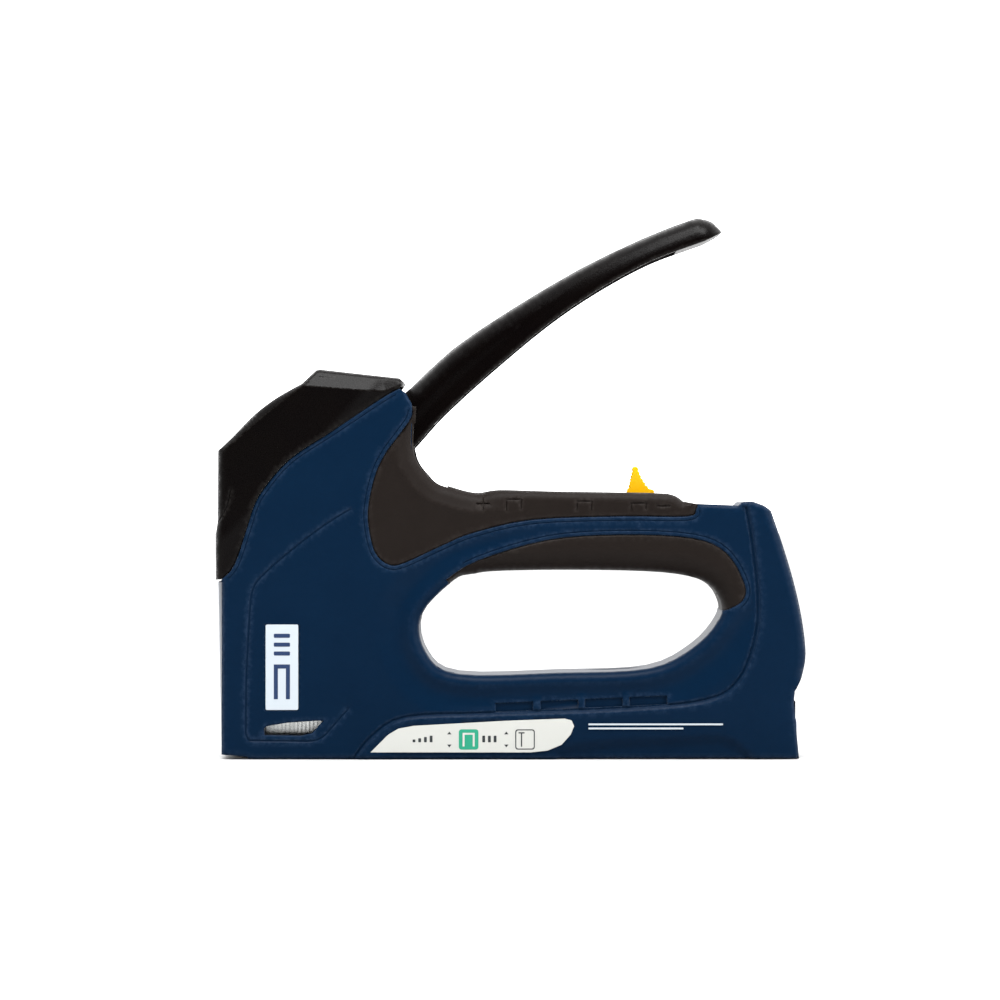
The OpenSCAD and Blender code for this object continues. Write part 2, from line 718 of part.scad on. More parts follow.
module pusher() {
  color(steel) difference() {
    block([pusher_front, -crown_w / 2, bar_low], [pusher_front + pusher_l, crown_w / 2, staple_top]);
    difference() {
      block([pusher_front - cut, -rail_y - rail_gap, bar_high],
        [pusher_front + pusher_l + cut, rail_y + rail_gap, rail_high + rail_gap]);
      block([pusher_front, -rail_y + rail_wall + 0.4, bar_low],
        [pusher_front + post_l, rail_y - rail_wall - 0.4, rail_high - rail_wall - 0.4]);
    }
    bar_x(pusher_front - cut, pusher_front + pusher_l + cut, rod_r + run_gap, 0, rod_z);
  }
}
module pusher_spring() {
  color(steel) coil_x(pusher_front + post_l + 0.4, rail_back - 0.4, rod_r + 0.85, 0.3, 20, 0, rod_z);
}
module guide_rod() {
  color(steel) bar_x(rail_front, rod_back, rod_r, 0, rod_z);
}

body_left();
body_right();
head_cap();
nose_plate();
upper_grip_left();
upper_grip_right();
lower_grip_left();
lower_grip_right();
label_left();
label_right();
badge_left();
badge_right();
housing_screws();
lever();
lift_arm();
lever_pin();
lever_rivet();
lift_roller();
roller_pin();
lever_spring();
hammer();
driver_blade();
blade_rivets();
main_leaf();
helper_leaf();
leaf_clamp();
buffer();
adjuster_thumb();
fulcrum_shoe();
detent_spring();
magazine_rail();
magazine_end();
catch_button();
catch_spring();
staple_stick();
pusher();
pusher_spring();
guide_rod();
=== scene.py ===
"""Looks of a hand staple gun, built round its packed model.

Lengths in the outlines are millimetres in the frame's own axes: X from nose to rear, Z up from the
base. Every mesh is made in metres, with its place in its vertices.
"""

import json
import logging
import math
from dataclasses import dataclass, field
from enum import Enum
from typing import Callable, Iterable, Sequence

import bmesh
import bpy
import numpy as np
from mathutils import Matrix, Vector
from mathutils.geometry import delaunay_2d_cdt
from mathutils.kdtree import KDTree


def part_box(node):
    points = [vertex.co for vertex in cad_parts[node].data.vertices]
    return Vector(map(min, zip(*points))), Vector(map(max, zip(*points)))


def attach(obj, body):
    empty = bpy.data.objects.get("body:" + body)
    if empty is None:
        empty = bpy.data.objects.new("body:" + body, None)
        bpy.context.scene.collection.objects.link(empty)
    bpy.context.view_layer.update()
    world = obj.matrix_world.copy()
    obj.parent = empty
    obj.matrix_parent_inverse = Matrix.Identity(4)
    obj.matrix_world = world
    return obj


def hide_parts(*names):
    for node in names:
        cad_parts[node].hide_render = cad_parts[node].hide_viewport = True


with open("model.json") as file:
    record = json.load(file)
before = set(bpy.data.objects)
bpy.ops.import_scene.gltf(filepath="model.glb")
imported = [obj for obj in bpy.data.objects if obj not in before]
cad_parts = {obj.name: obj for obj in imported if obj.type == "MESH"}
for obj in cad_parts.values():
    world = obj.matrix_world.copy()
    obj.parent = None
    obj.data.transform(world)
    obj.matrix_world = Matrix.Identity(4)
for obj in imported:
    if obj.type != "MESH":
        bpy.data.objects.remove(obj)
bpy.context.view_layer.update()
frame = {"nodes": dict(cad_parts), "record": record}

LOG = logging.getLogger("staple_gun")
MM = 0.001
SMOOTH_ANGLE = math.radians(32)


class Side(Enum):
    """Which side of the tool a piece belongs to."""

    LEFT = -1
    RIGHT = 1


# ---------------------------------------------------------------------------------------------
# Lines in the side view
# ---------------------------------------------------------------------------------------------


def smooth(points: Sequence[tuple[float, float]], steps: int = 4) -> np.ndarray:
    """Curve through control points, ending on the first and the last of them.

    Args:
        points: Control points as (x, z) in millimetres.
        steps: Pieces between two control points.

    Returns:
        Array of (x, z) points.
    """
    p = np.array(points, float)
    out = []
    for i in range(len(p) - 1):
        a, b, c, d = p[max(0, i - 1)], p[i], p[i + 1], p[min(len(p) - 1, i + 2)]
        for k in range(steps):
            out.append(blend_cubic(a, b, c, d, k / steps))
    out.append(p[-1])
    return np.array(out)


def smooth_ring(points: Sequence[tuple[float, float]], steps: int = 4) -> np.ndarray:
    """Closed curve through control points.

    Args:
        points: Control points as (x, z) in millimetres.
        steps: Pieces between two control points.

    Returns:
        Array of (x, z) points, without the first one repeated.
    """
    p = np.array(points, float)
    n = len(p)
    return np.array([
        blend_cubic(p[i - 1], p[i], p[(i + 1) % n], p[(i + 2) % n], k / steps)
        for i in range(n) for k in range(steps)
    ])


def blend_cubic(a: np.ndarray, b: np.ndarray, c: np.ndarray, d: np.ndarray, t: float) -> np.ndarray:
    """Point at t on the cubic from b to c whose slopes come from a and d."""
    return 0.5 * (2 * b + (c - a) * t + (2 * a - 5 * b + 4 * c - d) * t * t
                  + (3 * b - a - 3 * c + d) * t ** 3)


def resample(line: np.ndarray, gap: float, closed: bool) -> np.ndarray:
    """Points at an even gap along a line, with its sharp corners kept.

    Args:
        line: Points of the line.
        gap: Distance wanted between points.
        closed: True if the line returns to its first point.

    Returns:
        Array of points.
    """
    ends = np.vstack([line, line[:1]]) if closed else line
    out = []
    for a, b in zip(ends[:-1], ends[1:]):
        pieces = max(1, int(round(np.linalg.norm(b - a) / gap)))
        out.extend(a + (b - a) * k / pieces for k in range(pieces))
    if not closed:
        out.append(ends[-1])
    kept = [out[0]]
    for p in out[1:]:
        if np.linalg.norm(p - kept[-1]) > 0.45 * gap:
            kept.append(p)
    if closed and np.linalg.norm(kept[0] - kept[-1]) < 0.45 * gap:
        kept.pop()
    return np.array(kept)


def gap_to(points: np.ndarray, line: np.ndarray, closed: bool = False) -> np.ndarray:
    """Distance from each point to a line.

    Args:
        points: Array of (x, z) points.
        line: Points of the line.
        closed: True if the line returns to its first point.

    Returns:
        Array of distances.
    """
    ends = np.vstack([line, line[:1]]) if closed else line
    best = np.full(len(points), 1e9)
    for a, b in zip(ends[:-1], ends[1:]):
        d = b - a
        t = np.clip(((points - a) @ d) / max(float(d @ d), 1e-12), 0, 1)
        best = np.minimum(best, np.hypot(*(points - a - t[:, None] * d).T))
    return best


def inside(points: np.ndarray, ring: np.ndarray) -> np.ndarray:
    """True for each point that lies inside a closed ring."""
    x, z = points[:, 0], points[:, 1]
    hit = np.zeros(len(points), bool)
    for (ax, az), (bx, bz) in zip(ring, np.roll(ring, -1, axis=0)):
        if az == bz:
            continue
        crosses = (az > z) != (bz > z)
        hit ^= crosses & (x < (bx - ax) * (z - az) / (bz - az) + ax)
    return hit


def moved_sideways(line: np.ndarray, by: float, closed: bool) -> np.ndarray:
    """The line moved to its left by a distance, point by point."""
    before = np.roll(line, 1, axis=0) if closed else np.vstack([line[:1], line[:-1]])
    after = np.roll(line, -1, axis=0) if closed else np.vstack([line[1:], line[-1:]])
    t = after - before
    t /= np.maximum(np.hypot(t[:, 0], t[:, 1]), 1e-9)[:, None]
    return line + by * np.column_stack([-t[:, 1], t[:, 0]])


def inward(ring: np.ndarray) -> float:
    """1 if the left of a closed ring is its inside, otherwise -1."""
    nxt = np.roll(ring, -1, axis=0)
    area = np.sum(ring[:, 0] * nxt[:, 1] - nxt[:, 0] * ring[:, 1])
    return 1.0 if area > 0 else -1.0


def ease(t: np.ndarray) -> np.ndarray:
    """Smooth step from 0 to 1 as t goes from 0 to 1."""
    t = np.clip(t, 0, 1)
    return t * t * (3 - 2 * t)


class Lines:
    """The tool's outlines in the side view, in millimetres."""

    cap_front = np.array([(-93.4, 56.6), (-93.4, 71.2), (-92.8, 75.4), (-92.7, 97.4)])
    cap_roof = smooth([(-91.5, 98.4), (-87.7, 102.1), (-80.7, 109.2), (-73.7, 114.4), (-66.1, 118.6)])
    cap_crest = np.array([(-61.6, 123), (-60.2, 123.2), (-35.2, 120.4), (-33.8, 119.1)])
    cap_top = np.vstack([cap_front, cap_roof, cap_crest])
    cap_crease = np.vstack([
        smooth([(-91, 97.2), (-86.2, 101.2), (-79, 107.6), (-72.2, 113), (-65.7, 118)]),
        [(-45.7, 116.4), (-40, 116.2), (-35, 118)]])
    cap_seam = smooth([
        (-91.5, 56.6), (-87.3, 61.3), (-83, 74), (-81.2, 79.6), (-78.4, 84.8), (-69.9, 94.6),
        (-56.3, 103.6), (-40.8, 113.9), (-35.2, 117)])
    cap_fold = smooth([(-93.2, 73.6), (-91.4, 76.4), (-89.6, 80), (-88.6, 84.6)])
    pad_seam = smooth([
        (-31.2, 111.5), (-31.6, 107.8), (-35.2, 102.6), (-39.9, 96.1), (-43.1, 89), (-45.2, 78),
        (-44.1, 68.8), (-42.2, 64.1), (-38.5, 61.3), (-33.8, 61.8), (-21.5, 67.5), (-12.1, 71.3),
        (6.7, 75.5), (34.6, 76.6), (55.7, 76.6), (58.6, 78.9), (59.1, 80.6)])
    saddle = smooth([
        (54.5, 81.5), (53.2, 82.6), (50.6, 83.7), (46, 84.1), (30, 84.4), (11.6, 84.7), (-3.7, 85.1),
        (-11.2, 84.2), (-19.6, 86.3),
        (-23.4, 87.7), (-26.2, 90.5), (-29, 94.2), (-30.1, 99.1), (-29.9, 111.5)])
    rear_foot = np.array([(91.2, 0), (89.6, 18), (89.9, 21.3)])
    rear_back = smooth([(92.2, 25.9), (93.4, 33), (92.2, 44.1), (89.6, 55.9), (86.3, 67), (82.4, 78.4)])
    rear_top = np.array([(80.1, 80.1), (76.5, 81.4), (73, 81.2), (72, 80.1)])
    rear = np.vstack([rear_foot, rear_back, rear_top])
    head_tip = np.array([(-33.3, 115.8), (-31.4, 112.5)])
    nose = np.array([(-91.4, 55.7), (-91.5, 1.3), (-83.3, 0.6), (-82.9, 0)])
    opening = smooth_ring([
        (-18.2, 56.2), (-12.1, 58.3), (-2.8, 59.3), (22.2, 59.6), (48.4, 58.8), (61.5, 55.9),
        (66.4, 50), (66, 44.3), (58.3, 35.6), (43.9, 28.6), (15.8, 27.2), (-16.5, 26.8),
        (-26.6, 33.3), (-28.4, 45.2)])
    lower_pad_seam = smooth([
        (68.7, 47.1), (73.3, 50), (73.9, 55.2), (68.1, 65.1), (57.4, 69.8), (34.6, 70.9),
        (11.6, 69.2), (-10.6, 62.6), (-20.5, 56.6)])
    block_step = smooth([
        (74.3, 79.4), (76.2, 68.3), (77.9, 52), (77.2, 38.9), (72, 25.2), (61.5, 18.7),
        (35.4, 16.1), (-6.8, 14.6), (-33.4, 13.3), (-44, 7.2), (-49.8, 0)])
    scallop = np.array([(15.8, 1.8), (31.7, 3.6), (52.9, 4.6), (65.7, 5.2), (69.4, 4.1), (75.8, -1),
                        (15.8, -1)])
    panel = np.vstack([
        smooth([(-40, 84.5), (-51.1, 78.7), (-63.3, 70.7), (-77.4, 59), (-81.6, 53.3),
                (-82.6, 45), (-83.6, 26), (-83.8, 8)]),
        smooth([(-83, 5.7), (-72, 5.6), (-62.8, 5.6), (-58.9, 7.3), (-55.5, 11.1), (-51.6, 15.4),
                (-44, 23)])])
    window = np.array([
        (-78, 9.4), (-77.3, 10.3), (-70.5, 11.4), (-61.9, 12), (-59.3, 12), (-62.8, 8.1),
        (-66.2, 7.3), (-77.8, 7.5)])
    label = np.array([
        (-44.3, 2.1), (-38.7, 7.7), (-35.5, 9.6), (-30.7, 10.5), (-1.5, 12.1), (17, 12.8),
        (19.2, 12.2), (20, 10.4), (18.9, 7.7), (16, 4.5), (11.7, 2.7), (6.4, 2.1)])
    lever_over = smooth([
        (67.3, 167.1), (64.3, 170.2), (60.9, 171.3), (57.5, 171.1), (42, 165.1), (21.9, 155.4),
        (-0.4, 142.2), (-18.6, 129.8), (-32.4, 117), (-44, 107)])
    lever_under = smooth([
        (-37, 92.5), (-30.1, 99.1), (-21.9, 108.2), (-8.4, 120.7), (11.7, 137.5), (28.6, 149),
        (45.4, 158), (61.6, 163.9), (67.3, 167.1)])
    body = np.vstack([rear, saddle, head_tip[::-1], cap_seam[::-1], nose])
    upper_pad = np.vstack([pad_seam, saddle])
    lower_pad = np.vstack([lower_pad_seam, [(-15, 50), (58, 45.5)]])
    slots = [(x, 14.9 + 0.045 * (x + 4.7)) for x in (-4.7, 9.6, 23.6, 37.7)]
    slot_size = (11.7, 2.6)
    slot_lean = math.radians(2.4)


# ---------------------------------------------------------------------------------------------
# Mesh helpers
# ---------------------------------------------------------------------------------------------


def select_only(*objects: bpy.types.Object) -> None:
    """Deselects everything, then selects the objects and makes the first one active."""
    if bpy.context.mode != "OBJECT":
        bpy.ops.object.mode_set(mode="OBJECT")
    bpy.ops.object.select_all(action="DESELECT")
    for obj in objects:
        obj.select_set(True)
    bpy.context.view_layer.objects.active = objects[0]


def link_mesh(name: str, vertices: np.ndarray, faces: list) -> bpy.types.Object:
    """Makes an object from vertices in millimetres and its faces.

    Args:
        name: Name of the piece.
        vertices: Array of (x, y, z) in millimetres.
        faces: Lists of vertex numbers.

    Returns:
        The new object, in the scene.
    """
    mesh = bpy.data.meshes.new(name)
    mesh.from_pydata((np.asarray(vertices) * MM).tolist(), [], faces)
    obj = bpy.data.objects.new(name, mesh)
    bpy.context.scene.collection.objects.link(obj)
    return obj


def mend(obj: bpy.types.Object, merge: float = 1e-6) -> None:
    """Merges doubled vertices and turns every face outwards."""
    made = bmesh.new()
    made.from_mesh(obj.data)
    bmesh.ops.remove_doubles(made, verts=made.verts, dist=merge)
    bmesh.ops.recalc_face_normals(made, faces=made.faces)
    made.to_mesh(obj.data)
    made.free()


def apply_modifier(obj: bpy.types.Object, kind: str, **settings: object) -> None:
    """Adds a modifier with its settings and applies it."""
    select_only(obj)
    modifier = obj.modifiers.new(kind.title(), kind)
    for key, value in settings.items():
        setattr(modifier, key, value)
    bpy.ops.object.modifier_apply(modifier=modifier.name)


def shade(obj: bpy.types.Object, angle: float = SMOOTH_ANGLE) -> None:
    """Smooth shading led by the larger faces, with edges sharper than the angle kept crisp."""
    select_only(obj)
    bpy.ops.object.shade_smooth_by_angle(angle=angle)
    apply_modifier(obj, "WEIGHTED_NORMAL", mode="FACE_AREA", keep_sharp=True)


def mark_edges(obj: bpy.types.Object) -> None:
    """Stores how convex the surface is at each vertex, from 0 to 1, for the painted highlight along the
    edges.

    Corners of wide flat faces get little, as the value would spread over the whole face.

    Args:
        obj: The finished piece.
    """
    mesh = obj.data
    places, normals = (np.empty(len(mesh.vertices) * 3) for _ in range(2))
    mesh.vertices.foreach_get("co", places)
    mesh.vertices.foreach_get("normal", normals)
    ends = np.empty(len(mesh.edges) * 2, dtype=np.int32)
    mesh.edges.foreach_get("vertices", ends)
    places, normals, ends = places.reshape(-1, 3) / MM, normals.reshape(-1, 3), ends.reshape(-1, 2)
    convex, longest = np.zeros(len(places)), np.ones(len(places))
    for near, far in ((ends[:, 0], ends[:, 1]), (ends[:, 1], ends[:, 0])):
        gap = places[far] - places[near]
        bend = -np.sum(gap * normals[near], axis=1) / np.maximum(np.sum(gap * gap, axis=1), 0.04)
        np.maximum.at(convex, near, bend)
        np.maximum.at(longest, near, np.linalg.norm(gap, axis=1))
    stored = mesh.attributes.new("edge_highlight", "FLOAT", "POINT")
    stored.data.foreach_set("value", np.clip((convex - 0.12) / 0.6, 0, 1) * np.clip(3 / longest, 0, 1) ** 2)


def cad_copy(node: str, name: str) -> bpy.types.Object:
    """A merged copy of a CAD node's mesh, without its material.

    Args:
        node: Name of the CAD node.
        name: Name of the new piece.

    Returns:
        The copy, free of the frame.
    """
    mesh = frame["nodes"][node].data.copy()
    mesh.materials.clear()
    while mesh.uv_layers:
        mesh.uv_layers.remove(mesh.uv_layers[0])
    copy = bpy.data.objects.new(name, mesh)
    bpy.context.scene.collection.objects.link(copy)
    made = bmesh.new()
    made.from_mesh(mesh)
    bmesh.ops.remove_doubles(made, verts=made.verts, dist=2e-6)
    bmesh.ops.dissolve_degenerate(made, edges=made.edges, dist=1e-7)
    made.to_mesh(mesh)
    made.free()
    return copy


def combine(obj: bpy.types.Object, tool: bpy.types.Object, operation: str) -> None:
    """Boolean of obj with a tool, which is removed afterwards."""
    apply_modifier(obj, "BOOLEAN", object=tool, operation=operation, solver="MANIFOLD")
    bpy.data.objects.remove(tool)


def prism(name: str, outline: Iterable[tuple[float, float]], low: float, high: float,
          axis: str = "Y") -> bpy.types.Object:
    """A filled circle of as many corners, put on an outline and extruded.

    Args:
        name: Name of the piece.
        outline: Corners in millimetres, as (x, z), or as (y, z) along X.
        low: Where it starts along the axis, in millimetres.
        high: Where it ends.
        axis: Axis it is extruded along, X or Y.

    Returns:
        The closed solid.
    """
    corners = list(outline)
    if bpy.context.mode != "OBJECT":
        bpy.ops.object.mode_set(mode="OBJECT")
    bpy.ops.object.select_all(action="DESELECT")
    bpy.ops.mesh.primitive_circle_add(vertices=len(corners), radius=0.01, fill_type="NGON")
    obj = bpy.context.object
    obj.name = obj.data.name = name
    for vertex, (a, z) in zip(obj.data.vertices, corners):
        vertex.co = Vector((low, a, z) if axis == "X" else (a, low, z)) * MM
    run = (high - low) * MM
    bpy.ops.object.mode_set(mode="EDIT")
    bpy.ops.mesh.select_all(action="SELECT")
    bpy.ops.mesh.extrude_region_move(
        TRANSFORM_OT_translate={"value": (run, 0, 0) if axis == "X" else (0, run, 0)})
    bpy.ops.mesh.select_all(action="SELECT")
    bpy.ops.mesh.normals_make_consistent(inside=False)
    bpy.ops.object.mode_set(mode="OBJECT")
    return obj


def move_mesh(obj: bpy.types.Object, by: Sequence[float]) -> None:
    """Moves a piece's mesh by a vector in metres, with its object left at the origin."""
    obj.data.transform(Matrix.Translation(Vector(by)))


def rounded(x: float, z: float, wide: float, tall: float, r: float) -> list[tuple[float, float]]:
    """Outline of a rectangle with round corners, from its lowest corner."""
    out = []
    for cx, cz, start in ((x + wide - r, z + r, -90), (x + wide - r, z + tall - r, 0),
                          (x + r, z + tall - r, 90), (x + r, z + r, 180)):
        for step in range(4):
            a = math.radians(start + 30 * step)
            out.append((cx + r * math.cos(a), cz + r * math.sin(a)))
    return out


def bridge(x: float, z: float, wide: float, tall: float, line: float) -> list[tuple[float, float]]:
    """Outline of a staple seen from the front: two legs and a crown."""
    return [(x, z), (x + line, z), (x + line, z + tall - line), (x + wide - line, z + tall - line),
            (x + wide - line, z), (x + wide, z), (x + wide, z + tall), (x, z + tall)]


def tee(x: float, z: float, tall: float, wide: float, line: float) -> list[tuple[float, float]]:
    """Outline of a brad seen from the side: a shank under a head."""
    return [(x - line / 2, z), (x + line / 2, z), (x + line / 2, z + tall - line),
            (x + wide / 2, z + tall - line), (x + wide / 2, z + tall), (x - wide / 2, z + tall),
            (x - wide / 2, z + tall - line), (x - line / 2, z + tall - line)]


# ---------------------------------------------------------------------------------------------
# Moulded skins: closed solids whose side faces are a height over the side view
# ---------------------------------------------------------------------------------------------


@dataclass
class Edge:
    """A rounded edge along a line: the skin falls by the radius as it reaches the line."""

    line: np.ndarray
    radius: float
    closed: bool = False

    def fall(self, points: np.ndarray) -> np.ndarray:
        """How far the skin has fallen at each point."""
        d = np.minimum(gap_to(points, self.line, self.closed), self.radius)
        return self.radius - np.sqrt(np.maximum(self.radius ** 2 - (self.radius - d) ** 2, 0))

    def rows(self, gap: float) -> np.ndarray:
        """Points in rows beside the line, closer together where the skin turns faster."""
        line = resample(self.line, min(gap, max(self.radius, 0.5)), self.closed)
        steps = 3 if self.radius < 1 else 6
        rows = []
        for k in range(0, steps + 1):
            reach = self.radius * (1 - math.cos(math.pi / 2 * k / steps))
            for side in (-1, 1) if k else (1,):
                row = moved_sideways(line, side * reach, self.closed)
                rows.append(row[np.abs(gap_to(row, self.line, self.closed) - reach) < 0.15 * self.radius])
        return np.vstack(rows)


@dataclass
class Groove:
    """A rounded channel, or with a negative depth a rib, along a line."""

    line: np.ndarray
    width: float
    depth: float

    def fall(self, points: np.ndarray) -> np.ndarray:
        """Depth of the channel at each point."""
        d = gap_to(points, self.line) / (self.width / 2)
        return self.depth * ease(1 - d)

    def rows(self, gap: float) -> np.ndarray:
        """Points in rows along the channel."""
        line = resample(self.line, min(gap, self.width), False)
        return np.vstack([moved_sideways(line, f * self.width / 2, False)
                          for f in (-1, -0.66, -0.33, 0, 0.33, 0.66, 1)])


@dataclass
class Skin:
    """A moulded part's outer shape: an outline, a height over it, edges and grooves."""

    outline: np.ndarray
    level: Callable[[np.ndarray], np.ndarray]
    edges: list[Edge] = field(default_factory=list)
    grooves: list[Groove] = field(default_factory=list)
    rows: list[np.ndarray] = field(default_factory=list)
    gap: float = 1.3
    rim_gap: float = 1.0
    parting: float = 0.3

    def height(self, points: np.ndarray) -> np.ndarray:
        """Height of the skin over the mid plane at each point."""
        height = self.level(points)
        for groove in self.grooves:
            height = height - groove.fall(points)
        if self.edges:
            height = height - np.max([edge.fall(points) for edge in self.edges], axis=0)
        return height

    def triangles(self) -> tuple[np.ndarray, np.ndarray, list]:
        """Points over the outline, joined up.

        Returns:
            The rim's points, all points with the rim's first, and the triangles.
        """
        rim = resample(self.outline, self.rim_gap, True)
        extra = [edge.rows(self.gap) for edge in self.edges]
        extra += [groove.rows(self.gap) for groove in self.grooves]
        extra += self.rows
        fine = np.vstack(extra) if extra else np.zeros((0, 2))
        low, high = self.outline.min(0), self.outline.max(0)
        xs = np.arange(low[0], high[0], self.gap)
        zs = np.arange(low[1], high[1], self.gap * 0.866)
        grid = np.array([(x + (0.5 * self.gap if j % 2 else 0), z) for j, z in enumerate(zs) for x in xs])
        grid = grid[inside(grid, rim) & (gap_to(grid, rim, True) > 0.6 * self.gap)]
        fine = fine[inside(fine, rim)]
        fine = fine[gap_to(fine, rim, True) > 0.05]
        fine = thinned(fine, 0.1)
        grid = away_from(grid, fine, 0.6 * self.gap)
        points = np.vstack([rim, fine, grid])
        loop = list(range(len(rim)))
        out = delaunay_2d_cdt([Vector(p) for p in points], [], [loop], 1, 1e-5)
        made = np.array([tuple(v) for v in out[0]])
        origin = {old: new for new, olds in enumerate(out[3]) for old in olds}
        order = [origin[i] for i in loop]
        rest = [i for i in range(len(made)) if i not in set(order)]
        place = {old: new for new, old in enumerate(order + rest)}
        faces = [[place[i] for i in face] for face in out[2]]
        return made[order], made[order + rest], faces

    def half(self, name: str, side: Side) -> bpy.types.Object:
        """A closed half: the skin on one side, down past the mid plane, with a fine parting line."""
        rim, points, faces = self.triangles()
        top = np.column_stack([points[:, 0], self.height(points), points[:, 1]])
        n, count = len(rim), len(points)
        inner = moved_sideways(rim, inward(rim) * self.parting, True)
        loops = [(rim, self.parting * 1.3), (inner, 0.0), (inner, -1.0)]
        vertices = [top] + [np.column_stack([p[:, 0], np.full(n, y), p[:, 1]]) for p, y in loops]
        starts = [0] + [count + n * k for k in range(len(loops))]
        faces = list(faces)
        for a, b in zip(starts[:-1], starts[1:]):
            faces += [[a + i, a + (i + 1) % n, b + (i + 1) % n, b + i] for i in range(n)]
        faces.append([starts[-1] + i for i in range(n)])
        solid = np.vstack(vertices)
        solid[:, 1] *= side.value
        obj = link_mesh(name, solid, faces)
        apply_modifier(obj, "TRIANGULATE")
        mend(obj)
        return obj

    def whole(self, name: str) -> bpy.types.Object:
        """A closed solid with the skin on both sides."""
        rim, points, faces = self.triangles()
        height = self.height(points)
        near = np.column_stack([points[:, 0], -height, points[:, 1]])
        far = np.column_stack([points[:, 0], height, points[:, 1]])
        n, count = len(rim), len(points)
        faces = list(faces) + [[count + i for i in face][::-1] for face in faces]
        faces += [[i, (i + 1) % n, count + (i + 1) % n, count + i] for i in range(n)]
        obj = link_mesh(name, np.vstack([near, far]), faces)
        apply_modifier(obj, "TRIANGULATE")
        mend(obj)
        return obj


def thinned(points: np.ndarray, gap: float) -> np.ndarray:
    """The points with any closer than a gap to an earlier one left out."""
    cells = {}
    for i, key in enumerate(map(tuple, np.round(points / gap).astype(int))):
        cells.setdefault(key, i)
    return points[sorted(cells.values())]


def away_from(points: np.ndarray, others: np.ndarray, gap: float) -> np.ndarray:
    """The points that are at least a gap away from every one of the others."""
    if not len(others):
        return points
    tree = KDTree(len(others))
    for i, p in enumerate(others):
        tree.insert((p[0], p[1], 0), i)
    tree.balance()
    return points[[tree.find((p[0], p[1], 0))[2] > gap for p in points]]


# ---------------------------------------------------------------------------------------------
# Finishes
# ---------------------------------------------------------------------------------------------


def linear(code: str, alpha: float = 1.0) -> tuple[float, float, float, float]:
    """Turns an sRGB hex colour to linear."""
    parts = [int(code.lstrip("#")[i:i + 2], 16) / 255 for i in (0, 2, 4)]
    r, g, b = (c / 12.92 if c <= 0.04045 else ((c + 0.055) / 1.055) ** 2.4 for c in parts)
    return r, g, b, alpha


def add_node(tree: bpy.types.NodeTree, kind: str, links: dict | None = None,
             **settings: object) -> bpy.types.Node:
    """Adds a node with its settings and links.

    Args:
        tree: The material's node tree.
        kind: Node type.
        links: Input name or number to the output socket that feeds it.
        settings: Attributes of the node, or values of its inputs by name with _ for a space.

    Returns:
        The node.
    """
    node = tree.nodes.new(kind)
    for key, value in settings.items():
        if hasattr(node, key):
            setattr(node, key, value)
        else:
            node.inputs[key.replace("_", " ")].default_value = value
    for key, source in (links or {}).items():
        tree.links.new(source, node.inputs[key])
    return node


